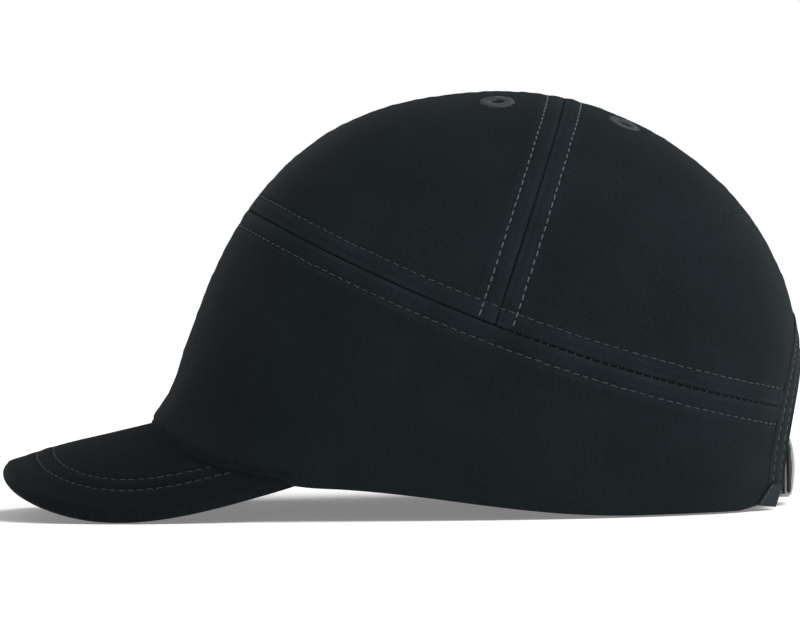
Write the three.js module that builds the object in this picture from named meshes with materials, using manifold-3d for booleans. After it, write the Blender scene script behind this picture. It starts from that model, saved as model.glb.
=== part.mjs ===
// Textile bump cap: a sewn cap with a short peak over a vented protective shell,
// with foam pads, a sweatband and a rear closure strap held by a clamp buckle.
// Millimetres, +Z up, the peak points to -Y and the wearer's left is +X.
// Z = 0 is the surface that the cap stands on; X = Y = 0 is the middle of its outline.
import * as THREE from 'three';
import Module from 'manifold-3d';
import { mergeVertices } from 'three/addons/utils/BufferGeometryUtils.js';

const wasm = await Module();
wasm.setup();

// ---------------------------------------------------------------- driving dimensions

const GAP = 0.3; // clearance between pieces that touch
const FRAME_SHIFT_Y = 25.6; // moves the crown's middle so that the outline is centred

// Crown profiles: [offset, height] control points from the hem to the top.
const TOP_Y = 9;
const TOP_Z = 140.6;
const FRONT_PROFILE = [[-112, 18], [-90, 70], [-84, TOP_Z], [TOP_Y, TOP_Z]];
const REAR_PROFILE = [[104.8, -6], [107, 40], [132, 80.5], [72, TOP_Z], [TOP_Y, TOP_Z]];
const SIDE_PROFILE = [[83, -6], [93, 58], [74, TOP_Z], [0, TOP_Z]];
const WIDEST_Y = 14; // where the crown is widest at the hem
const FULLNESS = 0.032; // how much squarer than an ellipse the plan is
const COLUMNS = 40; // facets around the crown
const ROWS = 11; // facets from the hem to the top

// Layers, measured inwards from the outer face of the crown.
const FABRIC = [0, 1.2];
const BINDING = [0, 2.8];
const TAPE = [1.5, 2.5];
const SHELL = [1.5, 3.7];
const PAD = [4.0, 8.5];
const LABEL = [-0.9, -0.3];
const SWEATBAND_FRONT = 4.0;
const SWEATBAND_REAR = 8.3;
const SWEATBAND_THICKNESS = 1.6;
const SWEATBAND_HEIGHT = 29;
const TAPE_HEIGHT = 8;

// Seams in side view, as [y, z] control points.
const HEM_FRONT = [[-125, 33], [-92, 17.5], [-72, 11.5], [-48, 10]];
const HEM_SIDE = [[-48, 10], [-15, 8], [15, 0], [50, 0]];
const HEM_CORNER = [[84, 0], [90, 1.2], [95, 3.8], [102, 4.6], [400, 4.6]];
const SHELL_EDGE = [[-125, 46], [-40, 10], [10, 12], [60, 28]];
const BAND_SEAM = [[-80, 104.5], [-35, 76], [40, 42], [115, 30.5]];
const CROWN_SEAM_POINT = [5, 62];
const CROWN_SEAM_LEAN = 0.35; // y per z

// Label in side view, just in front of the arch's left corner.
const LABEL_CORNERS = [[91.8, 2.2], [98.6, 0.6], [99.6, 6], [97, 12], [94, 11.2]];

// Rear arch in rear view: straight legs below a half circle.
const ARCH_RADIUS = 38;
const ARCH_CENTRE_Z = 13;
const BINDING_WIDTH = 13;
const ARCH_STEPS = 18; // facets over the half circle

// Peak.
const PEAK_ROOT_Y = -109;
const PEAK_ROOT_Z = 30.45;
const PEAK_SLOPE = 0.215; // fall of the ridge per mm forward
const PEAK_HALF_WIDTH = 75.5;
const PEAK_WIDEST_Y = -71;
const PEAK_TIP_Y = -160.4;
const PEAK_REAR_LENGTH = 60; // from the widest point back, if the outline closed on itself
const PEAK_END_ANGLE = THREE.MathUtils.degToRad(118); // where the outline runs into the crown
const PEAK_SQUARENESS = 2.7; // superellipse exponent of the outline
const PEAK_HUB_Y = -52; // inner point that the peak's facets fan out from
const PEAK_REAR_RADIUS = 124; // arch radius across the peak at its corners
const PEAK_FRONT_RADIUS = 103; // and at its tip
const PEAK_COLUMNS = 28; // facets along the outline
const PEAK_REACHES = [0.4, 0.6, 0.8, 1]; // facet rows, as fractions of the way out from the hub
const PEAK_COVER = 0.9;
const PEAK_BOARD = 1.8;
const PEAK_EDGE_WRAP = 1.8; // width of the upper cover's turned edge

// Shell slots.
const VENT_LENGTH = 16;
const VENT_WIDTH = 7;
const VENT_X = 29;
const VENT_Z = 94;
const TOP_VENT_YS = [-44, -18, 8.4, 50, 74];
const SIDE_VENT_YS = [-42, -6, 30];

// Pads: [low x or y, low z or y, high, high] of each rounded outline.
const FRONT_PAD_BOX = [-46, 50, 46, 92];
const REAR_PAD_BOX = [-46, 76, 46, 102];
const CROWN_PAD_BOX = [-24, -44, 24, 62];
const FLANK_OUTLINE = [[-44, 42], [52, 42], [48, 84], [-36, 84]];

// Eyelets: places as [degrees round from the rear, fraction of the way up].
const FRONT_EYELET = [92, 0.855];
const REAR_EYELET = [41, 0.78];
const EYELET_HOLE = 2.2;
const EYELET_OUTER = 5.8;

// Closure strap and buckle, set out around the vertical axis of the strap's arc.
const STRAP_AXIS_Y = 7.6;
const STRAP_RADIUS = 95.1; // outer face
const STRAP_THICKNESS = 1.5;
const STRAP_HALF_ANGLE = THREE.MathUtils.degToRad(31);
const STRAP_BOTTOM = 4;
const STRAP_TOP = 20;
const TAB_THICKNESS = 1.3;
const TAB_END_X = 36.5;
const BUCKLE_ANGLE = THREE.MathUtils.degToRad(7);
const BUCKLE_BOTTOM = 2.6;
const BUCKLE_TOP = 21.4;
const CHEEK_THICKNESS = 1.0;
const PLATE_OUTER = 92.3; // outer face of the frame's back plate
const PLATE_THICKNESS = 0.8;
const PIN_X = -8;
const PIN_Y = 96.9;
const PIN_RADIUS = 0.8;
const BAR_X = 11.5;
const BAR_Y = 96.9;
const LEVER_BACK_Y = 97.7;
const LEVER_RISE = 1; // crown of the domed lever plate
const LEVER_END_X = 8.6;

const FAR = 400; // reach of cutting prisms past the object
const CURVE_STEPS = 3; // facets to each arc of a cutting outline

// ---------------------------------------------------------------- materials

const BLACK_TWILL = { color: 0x1c2023, roughness: 0.85, metalness: 0 };
const BLACK_TAPE = { color: 0x181b1e, roughness: 0.8, metalness: 0 };
const SHELL_PLASTIC = { color: 0x2a2d30, roughness: 0.45, metalness: 0 };
const FOAM = { color: 0x303438, roughness: 0.95, metalness: 0 };
const BOARD_PLASTIC = { color: 0x3a3d40, roughness: 0.6, metalness: 0 };
const SWEATBAND_CLOTH = { color: 0x24282b, roughness: 0.9, metalness: 0 };
const EYELET_THREAD = { color: 0x6a7075, roughness: 0.8, metalness: 0 };
const LABEL_CLOTH = { color: 0x404649, roughness: 0.85, metalness: 0 };
const WEBBING = { color: 0x16191b, roughness: 0.75, metalness: 0 };
const SATIN_METAL = { color: 0x9aa0a6, roughness: 0.3, metalness: 1 };
const PIN_STEEL = { color: 0xa8adb2, roughness: 0.25, metalness: 1 };

// ---------------------------------------------------------------- solids and booleans

function toSolid(geometry) {
  const bare = geometry.clone();
  for (const name of ['normal', 'uv']) bare.deleteAttribute(name);
  const merged = mergeVertices(bare, 1e-4);
  const vertProperties = new Float32Array(merged.attributes.position.array);
  const triVerts = new Uint32Array(merged.index.array);
  return new wasm.Manifold(new wasm.Mesh({ numProp: 3, vertProperties, triVerts }));
}

function toGeometry(solid) {
  const mesh = solid.getMesh();
  const geometry = new THREE.BufferGeometry();
  geometry.setAttribute('position', new THREE.BufferAttribute(mesh.vertProperties, 3));
  geometry.setIndex(new THREE.BufferAttribute(mesh.triVerts, 1));
  geometry.computeVertexNormals();
  return geometry;
}

// Prisms of an outline given in side view (y, z), rear view (x, z) or plan (x, y).
function extrude(shape, length) {
  const options = { depth: length, bevelEnabled: false, curveSegments: CURVE_STEPS };
  return new THREE.ExtrudeGeometry(shape, options);
}

function outline(points) {
  return new THREE.Shape(points.map(([a, b]) => new THREE.Vector2(a, b)));
}

function sidePrism(points, x0 = -FAR, x1 = FAR) {
  const basis = new THREE.Matrix4().makeBasis(
    new THREE.Vector3(0, 1, 0),
    new THREE.Vector3(0, 0, 1),
    new THREE.Vector3(1, 0, 0),
  );
  const shape = Array.isArray(points) ? outline(points) : points;
  return toSolid(extrude(shape, x1 - x0).applyMatrix4(basis).translate(x0, 0, 0));
}

function rearPrism(shape, y0, y1) {
  return toSolid(extrude(shape, y1 - y0).rotateX(Math.PI / 2).translate(0, y1, 0));
}

function planPrism(shape, z0, z1) {
  return toSolid(extrude(shape, z1 - z0).translate(0, 0, z0));
}

function roundedBox(x0, y0, x1, y1, radius) {
  const shape = new THREE.Shape();
  shape.moveTo(x0 + radius, y0);
  shape.lineTo(x1 - radius, y0);
  shape.absarc(x1 - radius, y0 + radius, radius, -Math.PI / 2, 0);
  shape.lineTo(x1, y1 - radius);
  shape.absarc(x1 - radius, y1 - radius, radius, 0, Math.PI / 2);
  shape.lineTo(x0 + radius, y1);
  shape.absarc(x0 + radius, y1 - radius, radius, Math.PI / 2, Math.PI);
  shape.lineTo(x0, y0 + radius);
  shape.absarc(x0 + radius, y0 + radius, radius, Math.PI, 1.5 * Math.PI);
  return shape;
}

function bezierPoints(control, count) {
  const curve = new THREE.CubicBezierCurve(...control.map(([a, b]) => new THREE.Vector2(a, b)));
  return curve.getPoints(count).map((p) => [p.x, p.y]);
}

// ---------------------------------------------------------------- crown surface

// Point of a Bezier curve of any degree, by repeated interpolation.
function profileAt(control, t) {
  let points = control;
  while (points.length > 1) {
    points = points.slice(1).map(([a, b], i) => [
      THREE.MathUtils.lerp(points[i][0], a, t),
      THREE.MathUtils.lerp(points[i][1], b, t),
    ]);
  }
  return points[0];
}

// Point of the outer face. angle 0 is the rear, a quarter turn is the wearer's left.
function crownPoint(angle, t) {
  const [frontY, frontZ] = profileAt(FRONT_PROFILE, t);
  const [rearY, rearZ] = profileAt(REAR_PROFILE, t);
  const [sideX, sideZ] = profileAt(SIDE_PROFILE, t);
  const middleY = WIDEST_Y + (TOP_Y - WIDEST_Y) * t;
  const across = (Math.sin(angle) + FULLNESS * Math.sin(3 * angle)) / (1 - FULLNESS);
  const along = (Math.cos(angle) - FULLNESS * Math.cos(3 * angle)) / (1 - FULLNESS);
  const endY = along > 0 ? rearY : frontY;
  const endZ = along > 0 ? rearZ : frontZ;
  const reach = Math.abs(along);
  return new THREE.Vector3(
    sideX * across,
    middleY + (endY - middleY) * reach,
    sideZ + (endZ - sideZ) * reach * reach,
  );
}

function crownNormal(angle, t) {
  const step = 1e-3;
  const around = crownPoint(angle + step, t).sub(crownPoint(angle - step, t));
  const up = crownPoint(angle, t + step).sub(crownPoint(angle, t - step));
  return up.cross(around).normalize();
}

function crownOffset(angle, t, depth) {
  return crownPoint(angle, t).addScaledVector(crownNormal(angle, t), -depth);
}

// One face of a layer: a grid of rings closed by the top point.
function domeVertices(depthAt) {
  const vertices = [];
  for (let row = 0; row < ROWS; row += 1) {
    for (let column = 0; column < COLUMNS; column += 1) {
      const angle = 2 * Math.PI * column / COLUMNS;
      const t = row / ROWS;
      const depth = depthAt(crownPoint(angle, t).y);
      vertices.push(crownOffset(angle, t, depth));
    }
  }
  vertices.push(new THREE.Vector3(0, TOP_Y, TOP_Z - depthAt(TOP_Y)));
  return vertices;
}

function domeTriangles(start, flip) {
  const triangles = [];
  const add = (a, b, c) => triangles.push(...(flip ? [a, c, b] : [a, b, c]));
  for (let row = 0; row < ROWS; row += 1) {
    for (let column = 0; column < COLUMNS; column += 1) {
      const next = (column + 1) % COLUMNS;
      const low = start + row * COLUMNS;
      const high = low + COLUMNS;
      if (row === ROWS - 1) {
        add(low + column, high, low + next);
      } else {
        add(low + column, high + column, high + next);
        add(low + column, high + next, low + next);
      }
    }
  }
  return triangles;
}

// Closed solid between two offsets of the crown, each a number or a function of y.
function crownLayer(outer, inner) {
  const asFunction = (depth) => (typeof depth === 'function' ? depth : () => depth);
  const outside = domeVertices(asFunction(outer));
  const inside = domeVertices(asFunction(inner));
  const offset = outside.length;
  const triangles = [...domeTriangles(0, false), ...domeTriangles(offset, true)];
  for (let column = 0; column < COLUMNS; column += 1) {
    const next = (column + 1) % COLUMNS;
    triangles.push(column, next, offset + next);
    triangles.push(column, offset + next, offset + column);
  }
  return solidFrom([...outside, ...inside], triangles);
}

// The crown filled solid, grown outwards, to cut pieces back to its face.
function crownCore(growth) {
  const vertices = domeVertices(() => -growth);
  const triangles = domeTriangles(0, false);
  const centre = vertices.length;
  vertices.push(new THREE.Vector3(0, WIDEST_Y, 0));
  for (let column = 0; column < COLUMNS; column += 1) {
    triangles.push(centre, column, (column + 1) % COLUMNS);
  }
  return solidFrom(vertices, triangles);
}

function solidFrom(vertices, triangles) {
  const vertProperties = new Float32Array(vertices.flatMap((v) => [v.x, v.y, v.z]));
  const triVerts = new Uint32Array(triangles);
  return new wasm.Manifold(new wasm.Mesh({ numProp: 3, vertProperties, triVerts }));
}

// ---------------------------------------------------------------- cutting shapes

// Everything below the hem line, raised by a height.
function belowHem(height) {
  const front = bezierPoints(HEM_FRONT, 8);
  const rear = bezierPoints(HEM_SIDE, 8);
  const line = [...front, ...rear.slice(1), ...HEM_CORNER];
  const raised = line.map(([y, z]) => [y, z + height]);
  return sidePrism([[HEM_FRONT[0][0], -FAR], [FAR, -FAR], ...raised.reverse()]);
}

function belowShellEdge() {
  const edge = bezierPoints(SHELL_EDGE, 10);
  const [startY] = edge[0];
  const [, endZ] = edge.at(-1);
  return sidePrism([[startY, -FAR], [FAR, -FAR], [FAR, endZ], ...edge.reverse()]);
}

function belowBandSeam(shift) {
  const seam = bezierPoints(BAND_SEAM, 14).map(([y, z]) => [y, z + shift]);
  const [startY, startZ] = seam[0];
  return sidePrism([[-FAR, -FAR], [FAR, -FAR], [FAR, seam.at(-1)[1]], ...seam.reverse(),
    [-FAR, startZ + (startY + FAR)]]);
}

function behindCrownSeam(shift) {
  const at = (z) => CROWN_SEAM_POINT[0] + shift + CROWN_SEAM_LEAN * (z - CROWN_SEAM_POINT[1]);
  return sidePrism([[at(-FAR), -FAR], [FAR, -FAR], [FAR, FAR], [at(FAR), FAR]]);
}

function archShape(radius) {
  const shape = new THREE.Shape();
  shape.moveTo(-radius, -FAR);
  shape.lineTo(radius, -FAR);
  for (let i = 0; i <= ARCH_STEPS; i += 1) {
    const angle = Math.PI * i / ARCH_STEPS;
    shape.lineTo(radius * Math.cos(angle), ARCH_CENTRE_Z + radius * Math.sin(angle));
  }
  return shape;
}

function arch(radius) {
  return rearPrism(archShape(radius), WIDEST_Y, FAR);
}

function halfSpace(side, clearance) {
  const inner = side * clearance;
  const outer = side * FAR;
  const box = new THREE.BoxGeometry(FAR - clearance, 2 * FAR, 2 * FAR);
  return toSolid(box.translate((inner + outer) / 2, 0, 0));
}

// ---------------------------------------------------------------- assembly helpers

const cap = new THREE.Group();

function addMesh(parent, name, geometry, look) {
  const mesh = new THREE.Mesh(geometry, new THREE.MeshStandardMaterial(look));
  mesh.name = name;
  parent.add(mesh);
  return mesh;
}

function addSolid(parent, name, solid, look) {
  return addMesh(parent, name, toGeometry(solid), look);
}

// ---------------------------------------------------------------- sewn outer cap

// Place and direction of the eyelet at a crown angle and height fraction.
function eyeletFrame(side, [degrees, t]) {
  const angle = side * THREE.MathUtils.degToRad(degrees);
  const turn = new THREE.Quaternion();
  turn.setFromUnitVectors(new THREE.Vector3(0, 1, 0), crownNormal(angle, t));
  return { position: crownPoint(angle, t), turn };
}

function eyeletGeometry() {
  const barrel = EYELET_HOLE + 0.7;
  const profile = [
    [EYELET_HOLE, -1.2],
    [barrel, -1.2],
    [barrel, GAP],
    [EYELET_OUTER, GAP],
    [EYELET_OUTER - 0.5, 0.9],
    [EYELET_HOLE + 0.8, 1.1],
    [EYELET_HOLE, 0.7],
    [EYELET_HOLE, -1.2],
  ];
  return new THREE.LatheGeometry(profile.map(([r, h]) => new THREE.Vector2(r, h)), 14);
}

function eyeletHole(frame) {
  const radius = EYELET_HOLE + 0.7 + GAP;
  const drill = new THREE.CylinderGeometry(radius, radius, 12, 14);
  drill.applyQuaternion(frame.turn).translate(...frame.position);
  return toSolid(drill);
}

function buildPanels(parent) {
  const cloth = crownLayer(...FABRIC)
    .subtract(belowHem(0))
    .subtract(arch(ARCH_RADIUS + BINDING_WIDTH + GAP));
  const lower = cloth.intersect(belowBandSeam(-0.2));
  const upper = cloth.subtract(belowBandSeam(0.2));
  const fronts = upper.subtract(behindCrownSeam(-GAP / 2));
  const rears = upper.intersect(behindCrownSeam(GAP / 2));
  for (const [name, side] of [['left', 1], ['right', -1]]) {
    const half = halfSpace(side, GAP / 2);
    addSolid(parent, `side_panel_${name}`, lower.intersect(half), BLACK_TWILL);
    const quarters = [['front', fronts, FRONT_EYELET], ['rear', rears, REAR_EYELET]];
    for (const [place, quarter, spot] of quarters) {
      const frame = eyeletFrame(side, spot);
      const panel = quarter.intersect(half).subtract(eyeletHole(frame));
      addSolid(parent, `${place}_top_panel_${name}`, panel, BLACK_TWILL);
      const eyelet = addMesh(parent, `${place}_eyelet_${name}`, eyeletGeometry(), EYELET_THREAD);
      eyelet.position.copy(frame.position);
      eyelet.quaternion.copy(frame.turn);
    }
  }
}

function buildEdging(parent) {
  const binding = crownLayer(...BINDING)
    .intersect(arch(ARCH_RADIUS + BINDING_WIDTH))
    .subtract(arch(ARCH_RADIUS))
    .subtract(belowHem(0));
  addSolid(parent, 'rear_arch_binding', binding, BLACK_TWILL);

  const tape = crownLayer(...TAPE)
    .subtract(belowHem(GAP))
    .intersect(belowHem(TAPE_HEIGHT))
    .subtract(arch(ARCH_RADIUS + BINDING_WIDTH + GAP));
  addSolid(parent, 'hem_tape', tape, BLACK_TAPE);

  const outerFace = (y) => {
    const blend = THREE.MathUtils.smoothstep(y, -10, 45);
    return THREE.MathUtils.lerp(SWEATBAND_FRONT, SWEATBAND_REAR, blend);
  };
  const sweatband = crownLayer(outerFace, (y) => outerFace(y) + SWEATBAND_THICKNESS)
    .subtract(belowHem(2 * GAP))
    .intersect(belowHem(SWEATBAND_HEIGHT))
    .subtract(arch(ARCH_RADIUS + 2));
  addSolid(parent, 'sweatband', sweatband, SWEATBAND_CLOTH);

  // The label is a blank woven flag at the left corner of the arch.
  const flag = crownLayer(...LABEL).intersect(sidePrism(LABEL_CORNERS, 0, FAR));
  addSolid(parent, 'side_label', flag, LABEL_CLOTH);
}

// ---------------------------------------------------------------- protective shell and pads

// Slots through the top in two rows, and through the sides in one row each.
function ventSlots() {
  const half = VENT_LENGTH / 2;
  const wide = VENT_WIDTH / 2;
  const round = wide - 0.1;
  const slots = [];
  for (const x of [-VENT_X, VENT_X]) {
    for (const y of TOP_VENT_YS) {
      const slot = roundedBox(x - wide, y - half, x + wide, y + half, round);
      slots.push(planPrism(slot, VENT_Z, FAR));
    }
  }
  for (const y of SIDE_VENT_YS) {
    const slot = roundedBox(y - half, VENT_Z - wide, y + half, VENT_Z + wide, round);
    slots.push(sidePrism(slot));
  }
  return slots;
}

function buildShell(parent) {
  let shell = crownLayer(...SHELL)
    .subtract(belowShellEdge())
    .subtract(arch(ARCH_RADIUS + BINDING_WIDTH + 5));
  for (const slot of ventSlots()) shell = shell.subtract(slot);
  addSolid(parent, 'protective_shell', shell, SHELL_PLASTIC);
}

function buildPads(parent) {
  const foam = crownLayer(...PAD);
  const front = rearPrism(roundedBox(...FRONT_PAD_BOX, 10), -FAR, -FAR / 8);
  const rear = rearPrism(roundedBox(...REAR_PAD_BOX, 10), FAR / 8, FAR);
  const crown = planPrism(roundedBox(...CROWN_PAD_BOX, 12), VENT_Z, FAR);
  addSolid(parent, 'front_pad', foam.intersect(front), FOAM);
  addSolid(parent, 'rear_pad', foam.intersect(rear), FOAM);
  addSolid(parent, 'crown_pad', foam.intersect(crown), FOAM);
  addSolid(parent, 'left_pad', foam.intersect(sidePrism(FLANK_OUTLINE, 0, FAR)), FOAM);
  addSolid(parent, 'right_pad', foam.intersect(sidePrism(FLANK_OUTLINE, -FAR, 0)), FOAM);
}

// ---------------------------------------------------------------- peak

// Height of the peak's upper face over the plan.
function peakHeight(x, y) {
  const ridge = PEAK_ROOT_Z + PEAK_SLOPE * (y - PEAK_ROOT_Y);
  const blend = (PEAK_HUB_Y - y) / (PEAK_HUB_Y - PEAK_TIP_Y);
  const radius = THREE.MathUtils.lerp(PEAK_REAR_RADIUS, PEAK_FRONT_RADIUS, blend);
  return ridge - radius + Math.sqrt(radius * radius - x * x);
}

function peakFace(x, y, depth) {
  const step = 0.1;
  const slopeX = (peakHeight(x + step, y) - peakHeight(x - step, y)) / (2 * step);
  const slopeY = (peakHeight(x, y + step) - peakHeight(x, y - step)) / (2 * step);
  const normal = new THREE.Vector3(-slopeX, -slopeY, 1).normalize();
  return new THREE.Vector3(x, y, peakHeight(x, y)).addScaledVector(normal, -depth);
}

// Plan outline from the right corner round the tip to the left corner.
function peakOutline(inset) {
  const points = [];
  const power = 2 / PEAK_SQUARENESS;
  for (let i = 0; i <= PEAK_COLUMNS; i += 1) {
    const angle = PEAK_END_ANGLE * (2 * i / PEAK_COLUMNS - 1);
    const across = Math.sign(angle) * Math.abs(Math.sin(angle)) ** power;
    const along = Math.abs(Math.cos(angle)) ** power;
    const forward = Math.abs(angle) < Math.PI / 2;
    const reach = forward ? PEAK_TIP_Y + inset - PEAK_WIDEST_Y : PEAK_REAR_LENGTH;
    points.push([across * (PEAK_HALF_WIDTH - inset), PEAK_WIDEST_Y + reach * along]);
  }
  return points;
}

// Closed sheet between two depths below the peak's upper face.
function peakSheet(inset, outer, inner) {
  const rim = peakOutline(inset);
  const vertices = [];
  for (const depth of [outer, inner]) {
    for (const reach of PEAK_REACHES) {
      for (const [x, y] of rim) {
        vertices.push(peakFace(x * reach, PEAK_HUB_Y + (y - PEAK_HUB_Y) * reach, depth));
      }
    }
  }
  const width = rim.length;
  const rows = PEAK_REACHES.length;
  const lower = width * rows;
  const triangles = [];
  const quad = (a, b, c, d) => triangles.push(a, b, c, a, c, d);
  for (let row = 0; row < rows - 1; row += 1) {
    for (let column = 0; column < width - 1; column += 1) {
      const a = row * width + column;
      quad(a, a + width, a + width + 1, a + 1);
      quad(lower + a, lower + a + 1, lower + a + width + 1, lower + a + width);
    }
  }
  for (let column = 0; column < width - 1; column += 1) {
    const rimStart = (rows - 1) * width + column;
    quad(column, column + 1, lower + column + 1, lower + column);
    quad(rimStart, lower + rimStart, lower + rimStart + 1, rimStart + 1);
  }
  for (let row = 0; row < rows - 1; row += 1) {
    const right = row * width;
    const left = right + width - 1;
    quad(right, lower + right, lower + right + width, right + width);
    quad(left, left + width, lower + left + width, lower + left);
  }
  return solidFrom(vertices, triangles);
}

function buildPeak(parent) {
  const crown = crownCore(GAP);
  const boardTop = PEAK_COVER + GAP;
  const boardBottom = boardTop + PEAK_BOARD;
  const lowerTop = boardBottom + GAP;
  const lowerBottom = lowerTop + PEAK_COVER;
  const cover = peakSheet(0, 0, lowerBottom)
    .subtract(peakSheet(PEAK_EDGE_WRAP, PEAK_COVER, lowerBottom + 8))
    .subtract(crown);
  const innerInset = PEAK_EDGE_WRAP + GAP;
  const board = peakSheet(innerInset, boardTop, boardBottom).subtract(crown);
  const underside = peakSheet(innerInset, lowerTop, lowerBottom).subtract(crown);
  addSolid(parent, 'peak_upper_cover', cover, BLACK_TWILL);
  addSolid(parent, 'peak_board', board, BOARD_PLASTIC);
  addSolid(parent, 'peak_lower_cover', underside, BLACK_TWILL);
}

// ---------------------------------------------------------------- closure

// Plan sector between two radii, angles measured from +Y towards +X.
function sector(inner, outer, from, to) {
  const shape = new THREE.Shape();
  const toPlan = (angle) => Math.PI / 2 - angle;
  shape.absarc(0, 0, outer, toPlan(from), toPlan(to), true);
  shape.absarc(0, 0, inner, toPlan(to), toPlan(from), false);
  return shape;
}

function upright(x, y, radius, z0, z1, sides = 16) {
  const pin = new THREE.CylinderGeometry(radius, radius, z1 - z0, sides);
  return pin.rotateX(Math.PI / 2).translate(x, y, (z0 + z1) / 2);
}

function buildStrap(parent) {
  const shape = sector(
    STRAP_RADIUS - STRAP_THICKNESS,
    STRAP_RADIUS,
    -STRAP_HALF_ANGLE,
    STRAP_HALF_ANGLE,
  );
  const band = new THREE.ExtrudeGeometry(shape, {
    depth: STRAP_TOP - STRAP_BOTTOM,
    bevelEnabled: false,
    curveSegments: 30,
  });
  addMesh(parent, 'closure_strap', band.translate(0, 0, STRAP_BOTTOM), WEBBING);
}

// The short tab that carries the buckle, looped round the frame's bar.
function buildTab(parent) {
  const inner = STRAP_RADIUS + GAP;
  const outer = inner + TAB_THICKNESS;
  const barAngle = BUCKLE_ANGLE + Math.atan2(BAR_X, BAR_Y);
  const barRadius = Math.hypot(BAR_X, BAR_Y);
  const barX = barRadius * Math.sin(barAngle);
  const barY = barRadius * Math.cos(barAngle);
  const shape = sector(inner, outer, barAngle, Math.asin(TAB_END_X / outer));
  const band = planPrism(shape, STRAP_BOTTOM, STRAP_TOP);
  const loop = toSolid(upright(barX, barY, PIN_RADIUS + GAP + 0.9, STRAP_BOTTOM, STRAP_TOP));
  const bore = toSolid(upright(barX, barY, PIN_RADIUS + GAP, -FAR, FAR));
  addSolid(parent, 'strap_tab', band.add(loop).subtract(bore), WEBBING);
}

function buildFrame(parent) {
  const back = PLATE_OUTER - PLATE_THICKNESS;
  const cheek = outline([
    [PIN_X - 2, back],
    [BAR_X + 1.6, back],
    [BAR_X + 1.6, BAR_Y + 1.2],
    [BAR_X - 1.8, BAR_Y + 1.2],
    [LEVER_END_X, PIN_Y + 0.6],
    [PIN_X - 2, PIN_Y + 0.6],
  ]);
  const plate = outline([
    [PIN_X - 2, back],
    [BAR_X + 1.6, back],
    [BAR_X + 1.6, PLATE_OUTER],
    [PIN_X - 2, PLATE_OUTER],
  ]);
  const low = planPrism(cheek, BUCKLE_BOTTOM, BUCKLE_BOTTOM + CHEEK_THICKNESS);
  const high = planPrism(cheek, BUCKLE_TOP - CHEEK_THICKNESS, BUCKLE_TOP);
  const middle = planPrism(plate, BUCKLE_BOTTOM, BUCKLE_TOP);
  const bar = toSolid(upright(BAR_X, BAR_Y, PIN_RADIUS, BUCKLE_BOTTOM + 0.2, BUCKLE_TOP - 0.2));
  const bore = toSolid(upright(PIN_X, PIN_Y, PIN_RADIUS + GAP, -FAR, FAR));
  const frame = middle.add(low).add(high).subtract(bore).add(bar);
  addSolid(parent, 'buckle_frame', frame, SATIN_METAL);
}

function buildLever(parent) {
  const start = PIN_X + 0.9;
  const domed = new THREE.Shape();
  const middle = (start + LEVER_END_X) / 2;
  domed.moveTo(start, LEVER_BACK_Y);
  domed.lineTo(LEVER_END_X, LEVER_BACK_Y);
  domed.quadraticCurveTo(middle, LEVER_BACK_Y + 2 * LEVER_RISE, start, LEVER_BACK_Y + 0.6);
  const plate = planPrism(domed, BUCKLE_BOTTOM, BUCKLE_TOP);
  const hubBottom = STRAP_BOTTOM;
  const hubTop = STRAP_TOP;
  const hub = toSolid(upright(PIN_X, PIN_Y, PIN_RADIUS + GAP + 0.6, hubBottom, hubTop));
  const arm = outline([
    [PIN_X, PIN_Y + 0.2],
    [PIN_X + 3, PIN_Y + 0.2],
    [PIN_X + 3, LEVER_BACK_Y + 0.5],
    [PIN_X, LEVER_BACK_Y + 0.5],
  ]);
  const web = planPrism(arm, hubBottom, hubTop);
  const bore = toSolid(upright(PIN_X, PIN_Y, PIN_RADIUS + GAP, -FAR, FAR));
  addSolid(parent, 'buckle_lever', plate.add(web).add(hub).subtract(bore), SATIN_METAL);
}

function buildClosure(parent) {
  const arc = new THREE.Group();
  arc.position.set(0, STRAP_AXIS_Y, 0);
  parent.add(arc);
  buildStrap(arc);
  buildTab(arc);
  const buckle = new THREE.Group();
  buckle.rotation.z = -BUCKLE_ANGLE;
  arc.add(buckle);
  buildFrame(buckle);
  buildLever(buckle);
  const pin = upright(PIN_X, PIN_Y, PIN_RADIUS, BUCKLE_BOTTOM - 0.4, BUCKLE_TOP + 0.4);
  addMesh(buckle, 'buckle_pin', pin, PIN_STEEL);
}

// ---------------------------------------------------------------- the cap

cap.position.set(0, FRAME_SHIFT_Y, 0);
buildPanels(cap);
buildEdging(cap);
buildShell(cap);
buildPads(cap);
buildPeak(cap);
buildClosure(cap);

export default cap;
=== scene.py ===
"""Looks of a black textile bump cap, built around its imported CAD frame.

Lengths are in millimetres in the CAD's own drawing frame: Z up, the peak towards -Y and the
wearer's left towards +X. to_row() moves them to the row frame, in metres.
"""
import math

import bmesh
import bpy
import numpy as np
from mathutils import Matrix, Vector
from mathutils.bvhtree import BVHTree


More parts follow.
